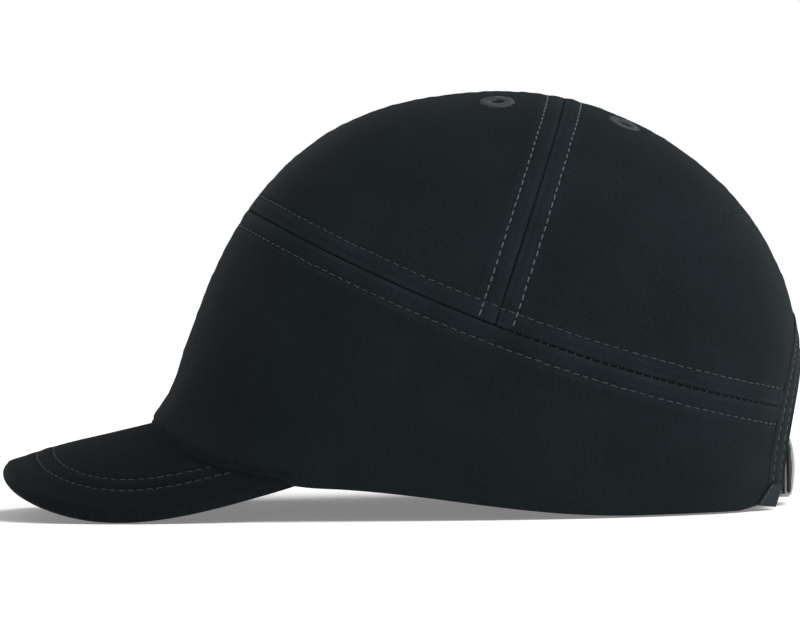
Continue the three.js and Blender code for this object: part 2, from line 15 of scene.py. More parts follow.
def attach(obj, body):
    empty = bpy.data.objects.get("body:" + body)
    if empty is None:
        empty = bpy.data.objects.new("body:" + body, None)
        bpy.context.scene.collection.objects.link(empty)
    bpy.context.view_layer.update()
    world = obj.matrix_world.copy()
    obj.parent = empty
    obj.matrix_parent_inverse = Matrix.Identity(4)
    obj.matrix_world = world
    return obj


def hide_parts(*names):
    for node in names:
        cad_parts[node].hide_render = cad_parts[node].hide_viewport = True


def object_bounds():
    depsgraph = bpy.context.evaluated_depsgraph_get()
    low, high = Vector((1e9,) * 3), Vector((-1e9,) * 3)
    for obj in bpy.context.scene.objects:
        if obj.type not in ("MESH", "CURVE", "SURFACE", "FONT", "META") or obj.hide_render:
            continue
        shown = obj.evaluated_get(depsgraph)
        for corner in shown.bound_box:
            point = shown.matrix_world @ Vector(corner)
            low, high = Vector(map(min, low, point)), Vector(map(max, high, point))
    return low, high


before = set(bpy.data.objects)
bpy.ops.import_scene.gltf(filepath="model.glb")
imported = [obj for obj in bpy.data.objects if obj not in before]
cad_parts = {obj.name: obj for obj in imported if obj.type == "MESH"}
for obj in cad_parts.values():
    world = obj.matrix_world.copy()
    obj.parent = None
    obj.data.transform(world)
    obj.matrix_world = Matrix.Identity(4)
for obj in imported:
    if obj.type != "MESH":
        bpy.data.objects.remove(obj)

CAD_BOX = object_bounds()
MM = 0.001
PI = math.pi
SIDES = ((False, "left"), (True, "right"))  # whether a side's pieces are mirrored, and its name

# ------------------------------------------------------------------ shape of the cap, as in the CAD
TOP_Y, TOP_Z = 9, 140.6
FRONT_PROFILE = [(-112, 18), (-90, 70), (-84, TOP_Z), (TOP_Y, TOP_Z)]
REAR_PROFILE = [(104.8, -6), (107, 40), (132, 80.5), (72, TOP_Z), (TOP_Y, TOP_Z)]
SIDE_PROFILE = [(83, -6), (93, 58), (74, TOP_Z), (0, TOP_Z)]
WIDEST_Y = 14
FULLNESS = 0.032
FAR_Y = 400  # behind everything
HEM_FRONT = [(-125, 33), (-92, 17.5), (-72, 11.5), (-48, 10)]
HEM_SIDE = [(-48, 10), (-15, 8), (15, 0), (50, 0)]
HEM_CORNER = [(84, 0), (90, 1.2), (95, 3.8), (102, 4.6), (FAR_Y, 4.6)]
SHELL_EDGE = [(-125, 46), (-40, 10), (10, 12), (60, 28)]
BAND_SEAM = [(-80, 104.5), (-35, 76), (40, 42), (115, 30.5)]
CROWN_SEAM_Y, CROWN_SEAM_Z, CROWN_SEAM_LEAN = 5, 62, 0.35
ARCH_RADIUS, ARCH_CENTRE_Z, ARCH_FOOT_Z, BINDING_WIDTH = 38, 13, 5.4, 13
PANEL_ARCH = ARCH_RADIUS + BINDING_WIDTH - 1.5  # the panels end under the arch's tape
LABEL_LOW, LABEL_OUT, LABEL_TIP, LABEL_ROOT = np.array([(89.3, 1.7), (95.4, 0.6), (98.3, 7.6), (94.9, 8.4)])

PEAK_ROOT_Y, PEAK_ROOT_Z, PEAK_SLOPE = -109, 30.45, 0.215
PEAK_HALF_WIDTH, PEAK_WIDEST_Y, PEAK_TIP_Y = 75.5, -71, -160.4
PEAK_REAR_LENGTH, PEAK_END_ANGLE, PEAK_SQUARENESS = 60, math.radians(118), 2.7
PEAK_HUB_Y, PEAK_REAR_RADIUS, PEAK_FRONT_RADIUS = -52, 124, 103
PEAK_THICKNESS = 4.2
PEAK_NOSE, PEAK_NOSE_FALL, PEAK_SIDE_FALL = 27, 2.4, 1.85  # how far its edges hang below the CAD's
COVER_RIM = 2.1  # radius of the upper cover's rolled edge
BOARD_TOP, BOARD_BOTTOM, BOARD_INSET = 1.2, 2.8, 2.4

SHIFT_Y = CAD_BOX[0].y / MM - PEAK_TIP_Y
CENTRE = np.array([0, 9, 45.0])  # every point of the crown can be seen from here

# ------------------------------------------------------------------ sewing
STITCH_PITCH, STITCH_LENGTH, THREAD_RADIUS = 3.2, 2.35, 0.24
BAND_ROW, CROWN_ROW = 6.0, 5.7  # a topstitch row's distance from its seam
PEAK_ROWS = (13.0, 18.6)  # rows' distances from the peak's edge
BINDING_ROWS = (4.0, 10.0)  # rows' distances from the arch's edge
BINDING_ROLL, BINDING_DEPTH = 1.35, 0.8  # of the tape's rolled edge: radius, and depth of its centre
BINDING_SELVEDGE = [(-2.5, -0.6), (-0.3, -0.5), (0, -0.25), (0.05, -0.1), (-0.2, 0.05)]
FOLD_RADIUS, OPEN_FOLD_RADIUS, PEAK_FOLD_RADIUS = 0.65, 1.05, 0.9  # of cloth turned under at a seam
SEAM_GAP, OPEN_GAP = 0.14, 0.5
SEAM_TURN = 0.5  # depth of a panel's edge below its fold
SEAM_TAPE_HALF, SEAM_TAPE_DEPTHS = 5.2, (1.3, 1.38, 1.45)
HEM_FOLD = 0.7
PUFF_HEIGHT, PUFF_AT, PUFF_WIDTH = 0.25, 2.9, 1.9  # cloth swells beside a seam
LADDER_HEIGHT, LADDER_PITCH = 0.2, 7.2
FLARE_HEIGHT, FLARE_WIDTH, FLARE_REAR_Y = 2.7, 7.5, -30  # cloth stands off above the peak
STITCH_LIFT = 0.09  # of a thread's path above the finished cloth
BAND_STITCH, CENTRE_STITCH = dict(radius=0.2), dict(radius=0.23)
CROWN_STITCH = dict(length=2.2, pitch=3.0, radius=0.27)
BAR_STITCH = dict(length=1.4, pitch=1.5, radius=0.15)
BAR_PITCH, BAR_HALF, BAR_LEAN, BAR_DEPTH = 2.9, 0.75, 0.45, 0.4
CLOTH_DROP = 0.2  # of the cloth's mean face below the crown's plain face
EYELETS = [(math.radians(92), 0.855), (math.radians(41), 0.78)]
EYELET_HOLE, EYELET_THREADS = 2.1, 38
EYELET_PROFILE = [(2.35, -2.4), (2.1, -1.0), (2.15, -0.2), (2.5, 0.35), (3.1, 0.62), (3.9, 0.72),
                  (4.7, 0.64), (5.3, 0.42), (5.65, 0.16), (5.85, -0.3)]  # (radius, height), from inside
RIGHT_SEED = 500  # added to the seeds of the right half's cloth

# ------------------------------------------------------------------ inside of the cap
SHELL_OUTER, SHELL_INNER = 1.5, 3.7  # depths below the crown's plain face
PAD_OUTER, PAD_INNER, PAD_ROUND, PAD_PITCH = 4.2, 8.3, 2.2, 11.0
VENT_HALF_LENGTH, VENT_HALF_WIDTH = 8.0, 3.5
TOP_VENT_X, TOP_VENT_YS = 29, (-44, -18, 8.4, 50, 74)
SIDE_VENT_Z, SIDE_VENT_YS = 94, (-42, -6, 30)
SWEATBAND_LOW, SWEATBAND_HIGH, SWEATBAND_ROWS = 0.6, 29.6, (4.5, 26.4)

# ------------------------------------------------------------------ strap and buckle
STRAP_AXIS_Y, STRAP_RADIUS, STRAP_THICKNESS = 7.6, 95.1, 1.5
STRAP_HALF_ANGLE, STRAP_BOTTOM, STRAP_TOP = math.radians(31), 4, 20
TAB_THICKNESS, TAB_END_X, WEB_RIB = 1.15, 36.5, 1.5
BUCKLE_ANGLE, BUCKLE_BOTTOM, BUCKLE_TOP = math.radians(7), 2.6, 21.4
PIN_X, PIN_Y, PIN_RADIUS = -8, 96.9, 0.8
BAR_X, BAR_Y = 11.5, 96.9
PLATE_OUTER, PLATE_THICKNESS, CHEEK_THICKNESS = 92.3, 0.8, 1.0
LEVER_BACK_Y, LEVER_END_X, LEVER_HALF_SHEET = 97.7, 8.6, 0.38


# ------------------------------------------------------------------ points, curves and grids
def to_row(points):
    return (np.asarray(points, float) + (0, SHIFT_Y, 0)) * MM


def coords(*parts):
    """Coordinates, spread to a common shape, as the last axis of one array."""
    return np.stack(np.broadcast_arrays(*parts), -1).astype(float)


def norm(v):
    return np.linalg.norm(v, axis=-1)


def unit(v):
    return v / np.maximum(norm(v)[..., None], 1e-12)


def smoothstep(low, high, x):
    t = np.clip((np.asarray(x, float) - low) / (high - low), 0, 1)
    return t * t * (3 - 2 * t)


def bell(x, middle, width):
    return np.exp(-(((x - middle) / width) ** 2))


def rounding(distance, radius):
    """From 0 at an edge to 1 a radius inside it, along a quarter of a circle."""
    return np.sqrt(np.clip(1 - (1 - np.clip(distance / radius, 0, 1)) ** 2, 0, 1))


def fold(distance, radius=FOLD_RADIUS):
    """Depth of the round shoulder of cloth that turns under at a seam."""
    return -radius * (1 - rounding(distance, radius))


def bezier(control, t):
    """Points at t of a plane Bezier curve of any degree."""
    t = np.asarray(t, float)[..., None]
    layer = [np.broadcast_to(np.array(p, float), t.shape[:-1] + (2,)) for p in control]
    while len(layer) > 1:
        layer = [a + (b - a) * t for a, b in zip(layer, layer[1:])]
    return layer[0]


def curve_height(*parts):
    """A function z(y) through curves (four points) and polylines in side view."""
    line = []
    for part in parts:
        line += list(bezier(part, np.linspace(0, 1, 60))) if len(part) == 4 else part
    ys, zs = np.array(line, float).T
    return lambda y: np.interp(y, ys, zs)


hem_height = curve_height(HEM_FRONT, HEM_SIDE, HEM_CORNER)
band_height = curve_height(BAND_SEAM)
shell_edge_height = curve_height(SHELL_EDGE)


def crown(angle, t):
    """A point of the crown's outer face. Angle 0 is the rear and 90 degrees the wearer's left."""
    angle, t = np.broadcast_arrays(np.asarray(angle, float), np.asarray(t, float))
    front, rear, side = (bezier(p, t) for p in (FRONT_PROFILE, REAR_PROFILE, SIDE_PROFILE))
    across = (np.sin(angle) + FULLNESS * np.sin(3 * angle)) / (1 - FULLNESS)
    along = (np.cos(angle) - FULLNESS * np.cos(3 * angle)) / (1 - FULLNESS)
    end = np.where(along[..., None] > 0, rear, front)
    middle = WIDEST_Y + (TOP_Y - WIDEST_Y) * t
    reach = np.abs(along)
    return coords(side[..., 0] * across, middle + (end[..., 0] - middle) * reach,
                  side[..., 1] + (end[..., 1] - side[..., 1]) * reach**2)


def grid_faces(rows, columns, wrap_rows=False, wrap_columns=False):
    """Quads of a grid of points stored row by row."""
    r = np.arange(rows if wrap_rows else rows - 1)[:, None]
    c = np.arange(columns if wrap_columns else columns - 1)[None, :]
    r2, c2 = (r + 1) % rows, (c + 1) % columns
    quads = [r * columns + c, r * columns + c2, r2 * columns + c2, r2 * columns + c]
    return np.stack([q.ravel() for q in quads], -1)


def crown_tree():
    angles = np.linspace(0, 2 * PI, 721)[:-1] + 0.0017
    points = crown(angles[None, :], np.linspace(-0.03, 1, 161)[:, None])
    faces = grid_faces(*points.shape[:2], wrap_columns=True)
    return BVHTree.FromPolygons(points.reshape(-1, 3).tolist(), faces.tolist())


TREE = crown_tree()


def cast(origins, directions):
    """Where rays from inside meet the crown, and the crown's outward normals there."""
    origins = np.broadcast_to(np.asarray(origins, float), directions.shape)
    places, normals = [], []
    for o, d in zip(origins.reshape(-1, 3), directions.reshape(-1, 3)):
        hit, normal, _, _ = TREE.ray_cast(Vector(o), Vector(d))
        while hit is None:  # the ray slipped along an edge
            d = d + (2e-6, 3e-6, 1e-6)
            hit, normal, _, _ = TREE.ray_cast(Vector(o), Vector(d))
        places.append(hit)
        normals.append(normal if normal.dot(Vector(d)) >= 0 else -normal)
    return np.array(places).reshape(directions.shape), np.array(normals).reshape(directions.shape)


def cast_along(direction, *origin):
    """Casts rays in one direction from places given by their coordinates."""
    origins = coords(*origin)
    return cast(origins, np.broadcast_to(np.array(direction, float), origins.shape))


def onto_crown(points):
    return cast(CENTRE, unit(points - CENTRE))


def outside_crown(points):
    """How far points lie outside the crown, along rays from its centre."""
    return norm(points - CENTRE) - norm(onto_crown(points)[0] - CENTRE)


def solve(function, low, high, shape, steps=40):
    """Where a rising function passes 0 between two numbers, at each place of an array."""
    low, high = np.full(shape, float(low)), np.full(shape, float(high))
    for _ in range(steps):
        middle = (low + high) / 2
        over = function(middle) > 0
        high, low = np.where(over, middle, high), np.where(over, low, middle)
    return (low + high) / 2


def level(angle, height):
    """The profile position t where the crown passes height, a function of its points."""
    def above(t):
        p = crown(angle, t)
        return p[..., 2] - height(p)
    return solve(above, -0.03, 1, np.shape(angle))


def lengths(points):
    """Distance along polylines that run down the first axis, at each of their points."""
    steps = norm(np.diff(points, axis=0))
    return np.concatenate([0 * steps[:1], np.cumsum(steps, 0)])


def read_at(at, s, rows):
    """Rows known at distances s, read at other distances."""
    return np.stack([np.interp(at, s, column) for column in rows.T], -1)


def resample(points, fractions):
    s = lengths(points)
    return read_at(np.asarray(fractions) * s[-1], s, points)


def spacing(length, fine=0.28, middle=0.75, coarse=1.7, edge=1.3, border=9.5):
    """Fractions along an edge, closest together at its two ends, where the seams are."""
    half = [0.0]
    while half[-1] < length / 2:
        s = half[-1]
        half.append(s + (fine if s < edge else middle if s < border else coarse))
    half = np.array(half) * (length / 2) / half[-1]
    return np.concatenate([half, length - half[-2::-1]]) / length


def coons(bottom, top, left, right):
    """A patch between four edges. bottom and top run along u, left and right along v."""
    u, v = (spacing((lengths(a)[-1] + lengths(b)[-1]) / 2) for a, b in ((bottom, top), (left, right)))
    b, t = resample(bottom, u)[None], resample(top, u)[None]
    l, r = resample(left, v)[:, None], resample(right, v)[:, None]
    u, v = u[None, :, None], v[:, None, None]
    corners = ((1 - u) * (1 - v) * b[:, :1] + u * (1 - v) * b[:, -1:]
               + (1 - u) * v * t[:, :1] + u * v * t[:, -1:])
    return (1 - v) * b + v * t + (1 - u) * l + u * r - corners


def grid_normals(grid):
    """Unit normals of a structured grid, pointing away from the crown's centre."""
    n = unit(np.cross(np.gradient(grid, axis=1), np.gradient(grid, axis=0)))
    return n * np.sign(((grid - CENTRE) * n).sum(-1, keepdims=True).mean())


class Line:
    """A curve on the cap, finely sampled, that distances are measured from."""

    def __init__(self, points, step=0.5):
        total = lengths(points)[-1]
        self.points = resample(points, np.linspace(0, 1, max(int(total / step), 8)))
        self.s = lengths(self.points)
        self.tangents = unit(np.gradient(self.points, axis=0))

    def near(self, points, batch=4000):
        """Distance from the curve, and distance along it, of each point."""
        flat = points.reshape(-1, 3)
        away, along = np.empty(len(flat)), np.empty(len(flat))
        for start in range(0, len(flat), batch):
            part = flat[start:start + batch]
            i = ((part[:, None] - self.points[None]) ** 2).sum(-1).argmin(1)
            d = part - self.points[i]
            run = (d * self.tangents[i]).sum(-1)
            past_end = (i == 0) | (i == len(self.points) - 1)
            square = norm(d - run[:, None] * self.tangents[i])
            away[start:start + batch] = np.where(past_end, norm(d), square)
            along[start:start + batch] = self.s[i] + run
        return away.reshape(points.shape[:-1]), along.reshape(points.shape[:-1])


def waves(points, seed, shortest, longest, count=7):
    """Smooth random unevenness of about unit size, from sine waves of lengths in a range."""
    rng = np.random.default_rng(seed)
    total = 0
    for _ in range(count):
        direction = unit(rng.normal(size=3))
        wavelength = rng.uniform(shortest, longest)
        phase = rng.uniform(0, 2 * PI)
        total = total + np.sin(points @ direction * 2 * PI / wavelength + phase)
    return total / math.sqrt(count)


def ripple(s, seed, shortest, longest):
    """Uneven ripple along a seam."""
    return waves(coords(s, 0, 0), seed, shortest, longest, 4)


def stitch_dents(s, depth, change):
    """Depth of a topstitched row's dent, deeper at each stitch."""
    return depth + change * np.cos(2 * PI * s / STITCH_PITCH)


# ------------------------------------------------------------------ seam lines on the left half
def peak_height(x, y):
    ridge = PEAK_ROOT_Z + PEAK_SLOPE * (y - PEAK_ROOT_Y)
    blend = (PEAK_HUB_Y - y) / (PEAK_HUB_Y - PEAK_TIP_Y)
    radius = PEAK_REAR_RADIUS + (PEAK_FRONT_RADIUS - PEAK_REAR_RADIUS) * blend
    nose = PEAK_NOSE_FALL * np.clip(1 - (y - PEAK_TIP_Y) / PEAK_NOSE, 0, 1) ** 2
    sides = PEAK_SIDE_FALL * (np.abs(x) / PEAK_HALF_WIDTH) ** 3 * (1 - nose / PEAK_NOSE_FALL)
    return ridge - radius + np.sqrt(radius**2 - np.minimum(np.abs(x), radius) ** 2) - nose - sides


def peak_outline(angle, inset):
    """The peak's plan outline at angles from straight ahead, inset from its edge."""
    power = 2 / PEAK_SQUARENESS
    across = np.sign(angle) * np.abs(np.sin(angle)) ** power
    along = np.abs(np.cos(angle)) ** power
    ahead = PEAK_TIP_Y + inset - PEAK_WIDEST_Y
    reach = np.where(np.abs(angle) < PI / 2, ahead, PEAK_REAR_LENGTH)
    return across * (PEAK_HALF_WIDTH - inset), PEAK_WIDEST_Y + reach * along


def arch_radius_at(points):
    return np.hypot(points[..., 0], points[..., 2] - ARCH_CENTRE_Z)


def hem_at(angle):
    """The profile position of the hem's fold."""
    return level(angle, lambda p: hem_height(p[..., 1]) + HEM_FOLD)


def band_at(angle):
    """The profile position of the band seam."""
    return level(angle, lambda p: band_height(p[..., 1]))


def panel_end(v):
    """The angle where the side panel ends at the arch, a share v of the way up."""
    def past(angle):
        p = crown(angle, hem_at(angle) + (band_at(angle) - hem_at(angle)) * v)
        return arch_radius_at(p) - PANEL_ARCH
    return solve(past, 0.1, 1.4, v.shape, 30)


def crown_seam_curve(low_z=60.0):
    """The seam between the front and rear top panels, from the band seam to the centre line."""
    start = np.array([0, CROWN_SEAM_Y + CROWN_SEAM_LEAN * (low_z - CROWN_SEAM_Z), low_z])
    up = unit(np.array([0, CROWN_SEAM_LEAN, 1.0]))

    def at(turn):
        turn = np.asarray(turn, float)[..., None]
        return cast(start, np.cos(turn) * np.array([1.0, 0, 0]) + np.sin(turn) * up)[0]

    def over(turn):
        p = at(turn)
        return p[..., 2] - band_height(p[..., 1])
    low = solve(over, -0.6, 1.2, 1, 24)[0]
    return at(np.linspace(low, PI / 2, 160))


def centre_curve(start, end, count):
    """The centre line over the crown between two of its points."""
    def turn(p):
        angle = math.atan2(p[2] - CENTRE[2], p[1] - CENTRE[1])
        return angle if angle > -PI / 2 else angle + 2 * PI
    turns = np.linspace(turn(start), turn(end), count)
    return cast(CENTRE, coords(0, np.cos(turns), np.sin(turns)))[0]


def rear_face(x, z):
    """The crown's rear face behind points of the x-z plane, with its normals."""
    return cast_along((0, 1, 0), x, WIDEST_Y, z)


def arch_curve(count=120):
    """The edge of the panels over the arch, from the band seam up to the top."""
    foot = math.degrees(math.atan2(BAND_CORNER[2] - ARCH_CENTRE_Z, BAND_CORNER[0]))
    turns = np.radians(np.linspace(foot, 90, count))
    return rear_face(PANEL_ARCH * np.cos(turns), ARCH_CENTRE_Z + PANEL_ARCH * np.sin(turns))[0]


BAND_ANGLES = np.linspace(PI, float(panel_end(np.array([1.0]))[0]), 400)
BAND_CURVE = crown(BAND_ANGLES, band_at(BAND_ANGLES))
BAND_CORNER = BAND_CURVE[-1]
SEAM_CURVE = crown_seam_curve()
FRONT_CENTRE = centre_curve(crown(PI, hem_at(np.array([PI])))[0], SEAM_CURVE[-1], 300)
ARCH_CURVE = arch_curve()
REAR_CENTRE = centre_curve(SEAM_CURVE[-1], ARCH_CURVE[-1], 200)
CENTRE_LINE = Line(np.concatenate([FRONT_CENTRE, REAR_CENTRE[1:]]))
BAND_LINE, SEAM_LINE = Line(BAND_CURVE), Line(SEAM_CURVE)


def peak_face(x, y, depth):
    """A point below the peak's upper face, measured square to it."""
    step = 0.1
    slope_x = (peak_height(x + step, y) - peak_height(x - step, y)) / (2 * step)
    slope_y = (peak_height(x, y + step) - peak_height(x, y - step)) / (2 * step)
    normal = unit(coords(-slope_x, -slope_y, 1))
    return coords(x, y, peak_height(x, y)) - normal * np.asarray(depth)[..., None]


def junction_curve():
    """Where the peak's upper face meets the crown, from the front centre to the wearer's left."""
    angles = np.linspace(PI, math.radians(112), 400)
    points = crown(angles, level(angles, lambda p: peak_height(p[..., 0], p[..., 1])))
    rim_x, rim_y = peak_outline(np.linspace(0, PEAK_END_ANGLE, 400), 0)
    end = int(np.argmax(outside_crown(peak_face(rim_x, rim_y, 0)) < 0))
    return points[points[:, 1] < rim_y[end]]


JUNCTION_LINE = Line(junction_curve())


# ------------------------------------------------------------------ relief of the sewn cloth
def drawn_open(points):
    """How far the band seam is drawn open: behind the crown seam, and not at the arch."""
    start = SEAM_LINE.points[0, 1]
    y = points[..., 1]
    return smoothstep(start + 4, start + 22, y) * (1 - smoothstep(BAND_CORNER[1] - 9, BAND_CORNER[1] - 3, y))


def seam_relief(distance, along, row, seed):
    """Height of cloth at a distance from a seam with one topstitch row on this side."""
    puff = PUFF_HEIGHT * (1 + 0.35 * ripple(along, seed, 9, 24)) * bell(distance, PUFF_AT, PUFF_WIDTH)
    held = bell(distance, row, 0.7) * stitch_dents(along, 0.33, 0.1)
    puckers = 0.1 * ripple(along, seed + 1, 4, 9) * bell(distance, row * 0.55, row * 0.42)
    beyond = 0.12 * bell(distance, row + 2.2, 1.5)
    beyond = beyond + 0.06 * ripple(along, seed + 2, 5, 12) * bell(distance, row + 3, 3)
    return fold(distance) + puff + puckers - held + beyond


def relief(points, seed=0):
    """Height of the finished cloth above the crown's plain face, on the left half."""
    band, band_s = BAND_LINE.near(points)
    seam, seam_s = SEAM_LINE.near(points)
    centre, centre_s = CENTRE_LINE.near(points)
    junction, _ = JUNCTION_LINE.near(points)
    y, z = points[..., 1], points[..., 2]
    above_band = z > band_height(y)
    behind = y > CROWN_SEAM_Y + CROWN_SEAM_LEAN * (z - CROWN_SEAM_Z)
    height = seam_relief(band, band_s, BAND_ROW, seed + 10)
    height = height + drawn_open(points) * (fold(band, OPEN_FOLD_RADIUS) - fold(band))
    height = height + np.where(above_band, seam_relief(seam, seam_s, CROWN_ROW, seed + 20), 0)
    height = height * (1 - 0.75 * bell(centre, 0, 12))  # the centre seam's layers hold these flat
    height = height + seam_relief(centre, centre_s, CROWN_ROW, seed + 30)
    # The turned-back allowance behind the crown seam shows through as a ladder of shallow squares.
    ladder = (above_band & behind) * bell(seam, PUFF_AT, 1.7)
    height = height + LADDER_HEIGHT * ladder * np.clip(3 * np.sin(2 * PI * seam_s / LADDER_PITCH), -1, 1)
    # Cloth stands off where it turns under above the peak.
    flare = FLARE_HEIGHT * bell(junction, 0, FLARE_WIDTH) + fold(junction, PEAK_FOLD_RADIUS)
    height = height + (y < FLARE_REAR_Y) * flare
    drape = 0.22 * waves(points, seed + 41, 38, 75) + 0.05 * waves(points, seed + 42, 12, 24)
    near_peak = bell(junction, 0, 26) * 0.16 * waves(points, seed + 43, 14, 30)
    calm = smoothstep(0, 9, np.minimum(np.minimum(band, centre), np.where(above_band, seam, 99)))
    return height + calm * (drape + near_peak) - CLOTH_DROP


def wear(points):
    """From 0 to 1, how rubbed the cloth is: on folds at seams and along topstitching."""
    above_band = points[..., 2] > band_height(points[..., 1])
    worn = 0
    for line, row, where in ((BAND_LINE, BAND_ROW, True), (SEAM_LINE, CROWN_ROW, above_band),
                             (CENTRE_LINE, CROWN_ROW, True)):
        away, along = line.near(points)
        here = bell(away, 1.1, 0.8) + 0.35 * bell(away, row + 1.3, 0.8) + 0.5 * bell(away, row - 1.8, 1.5)
        worn = worn + where * here * (0.7 + 0.3 * ripple(along, 5, 8, 30))
    return np.clip(worn, 0, 1)


# ------------------------------------------------------------------ materials
class Look:
    """A procedural material under construction, around its Principled shader."""

    def __init__(self, name):
        self.material = bpy.data.materials.new(name)
        self.material.use_nodes = True
        self.tree = self.material.node_tree
        self.shader = self.tree.nodes["Principled BSDF"]
        place = self.add("TexCoord").outputs["Object"]
        place = self.add("VectorMath", {0: place, 1: (1 / MM,) * 3}, operation="MULTIPLY")
        self.place = place.outputs[0]  # the piece's place, in millimetres
        self.vector = self.add("UVMap", uv_map="cloth").outputs[0]
        parts = self.add("SeparateXYZ", {0: self.vector})
        self.u, self.v = parts.outputs[:2]  # the cloth's own flat coordinates, in millimetres

    def feed(self, socket, value):
        if isinstance(value, bpy.types.NodeSocket):
            self.tree.links.new(value, socket)
        else:
            socket.default_value = value

    def add(self, kind, inputs=None, **settings):
        node = self.tree.nodes.new("ShaderNode" + kind)
        for key, value in settings.items():
            setattr(node, key, value)
        for key, value in (inputs or {}).items():
            self.feed(node.inputs[key], value)
        return node

    def math(self, operation, *values):
        return self.add("Math", dict(enumerate(values)), operation=operation).outputs[0]

    def total(self, *terms):
        """Sum of (factor, socket) pairs."""
        result = 0.0
        for factor, socket in terms:
            result = self.math("MULTIPLY_ADD", socket, factor, result)
        return result

    def ridges(self, value, period=None):
        """A wave from 0 to 0.5 and back in straight lines."""
        return self.math("PINGPONG", self.math("DIVIDE", value, period) if period else value, 0.5)

    def yarns(self, ridges, gain, softness):
        """Ridges with soft flat tops."""
        return self.math("SMOOTH_MIN", self.math("MULTIPLY", ridges, gain), 1.0, softness)

    def mix(self, factor, a, b):
        inputs = {0: factor, 6: a, 7: b}
        return self.add("Mix", inputs, data_type="RGBA", clamp_factor=True).outputs[2]

    def span(self, value, low, high, to_low=0.0, to_high=1.0):
        return self.add("MapRange", {0: value, 1: low, 2: high, 3: to_low, 4: to_high}).outputs[0]

    def greys(self, value, low, high, dark, light):
        """From a dark grey to a light one as a value goes from low to high."""
        return self.mix(self.span(value, low, high), grey(dark), grey(light))

    def noise(self, vector, scale, detail=2.0, roughness=0.5):
        inputs = {"Vector": vector, "Scale": scale, "Detail": detail, "Roughness": roughness}
        return self.add("TexNoise", inputs).outputs[0]

    def streaks(self, vector, stretch, scale, detail, roughness):
        """Noise drawn out along an axis."""
        stretched = self.add("Mapping", {0: vector, 3: stretch}).outputs[0]
        return self.noise(stretched, scale, detail, roughness)

    def bump(self, height, depth_mm, strength=1.0, below=None):
        inputs = {"Height": height, "Distance": depth_mm * MM, "Strength": strength}
        if below is not None:
            inputs["Normal"] = below
        return self.add("Bump", inputs).outputs[0]

    def done(self, colour, roughness, normal=None, **inputs):
        inputs.update(Base_Color=colour, Roughness=roughness)
        if normal is not None:
            inputs["Normal"] = normal
        for key, value in inputs.items():
            self.feed(self.shader.inputs[key.replace("_", " ")], value)
        return self.material


def grey(value):
    """A near-neutral colour of a linear brightness; the cap's blacks lean a little to blue."""
    return (value * 0.68, value, value * 1.19, 1)


def twill(name, dark, light, worn, lean=0.12, period=0.7, float_length=0.55):
    """Cotton twill: slanting ribs built from short floats of yarn, with painted highlight on the rib crests
    and painted shade in the grooves between them.
    """
    look = Look(name)
    vector = look.vector
    across = look.total((1.0, look.u), (lean, look.v), (0.5, look.noise(vector, 0.22)))
    phase = look.math("DIVIDE", across, period)
    rib = look.yarns(look.ridges(phase), 2.6, 0.35)
    row = look.math("MULTIPLY", look.math("FLOOR", phase), 0.37)
    float_phase = look.math("ADD", look.math("DIVIDE", look.v, float_length), row)
    yarn = look.yarns(look.ridges(float_phase), 3.4, 0.3)
    weave = look.total((0.78, rib), (0.3, look.math("MULTIPLY", yarn, rib)))
    slub = look.streaks(vector, (1.3, 0.12, 1), 1.0, 3, 0.6)
    broad = look.noise(vector, 0.03, 3, 0.55)
    fine = look.noise(vector, 1.9, 3, 0.7)
    grain = look.noise(vector, 0.75, 2, 0.6)
    # Colour: the weave term paints highlight on the rib crests and shade in the grooves; slub, broad, fine
    # and grain are random tone of the yarn.
    shade = look.total((0.32, weave), (0.6, slub), (0.7, broad), (0.5, fine), (0.75, grain))
    wear_here = look.add("Attribute", attribute_name="wear").outputs["Fac"]
    rubbed = look.math("MULTIPLY", wear_here, look.span(fine, 0.35, 0.7))
    lint = look.math("GREATER_THAN", look.noise(vector, 2.3, 1), 0.795)
    colour = look.greys(shade, 1.0, 1.85, dark, light)
    colour = look.mix(look.math("MULTIPLY", rubbed, 0.75), colour, grey(worn))
    colour = look.mix(look.math("MULTIPLY", lint, 0.35), colour, grey(0.14))
    fuzz = look.bump(look.total((0.6, fine), (0.7, grain)), 0.08, 0.5)
    return look.done(colour, look.span(slub, 0.3, 0.7, 0.78, 0.94), look.bump(weave, 0.1, 0.6, fuzz),
                     Specular_IOR_Level=0.07, Sheen_Weight=0.03, Sheen_Roughness=0.42,
                     Sheen_Tint=(0.82, 0.92, 1, 1))


def thread(name, colour, twist=0.55):
    """Sewing thread: two plies laid round each other."""
    look = Look(name)
    lay = look.math("ADD", look.math("DIVIDE", look.u, twist), look.math("MULTIPLY", look.v, 2.0))
    ply = look.ridges(lay)
    shade = look.total((0.9, ply), (0.7, look.noise(look.place, 0.35)))
    return look.done(look.greys(shade, 0.25, 0.85, colour * 0.5, colour * 1.25), 0.62,
                     look.bump(ply, 0.09, 0.8), Specular_IOR_Level=0.4, Sheen_Weight=0.25,
                     Sheen_Roughness=0.4)


def webbing(name, dark, light, ribs=WEB_RIB):
    """Narrow woven tape: cords along it, crossed by fine weft."""
    look = Look(name)
    cord = look.yarns(look.ridges(look.v, ribs), 3.0, 0.4)
    zigzag = look.math("MULTIPLY", look.ridges(look.v, ribs * 2), ribs * 1.2)
    weft = look.ridges(look.math("ADD", look.u, zigzag), 0.7)
    weave = look.total((0.6, cord), (0.9, weft))
    fine = look.noise(look.vector, 2.2, 3, 0.65)
    shade = look.total((0.55, weave), (0.4, fine), (0.4, look.noise(look.vector, 0.06)))
    return look.done(look.greys(shade, 0.3, 1.1, dark, light), look.span(fine, 0.3, 0.7, 0.62, 0.82),
                     look.bump(weave, 0.2, 0.8, look.bump(fine, 0.04, 0.4)),
                     Specular_IOR_Level=0.35, Sheen_Weight=0.2, Sheen_Roughness=0.45)


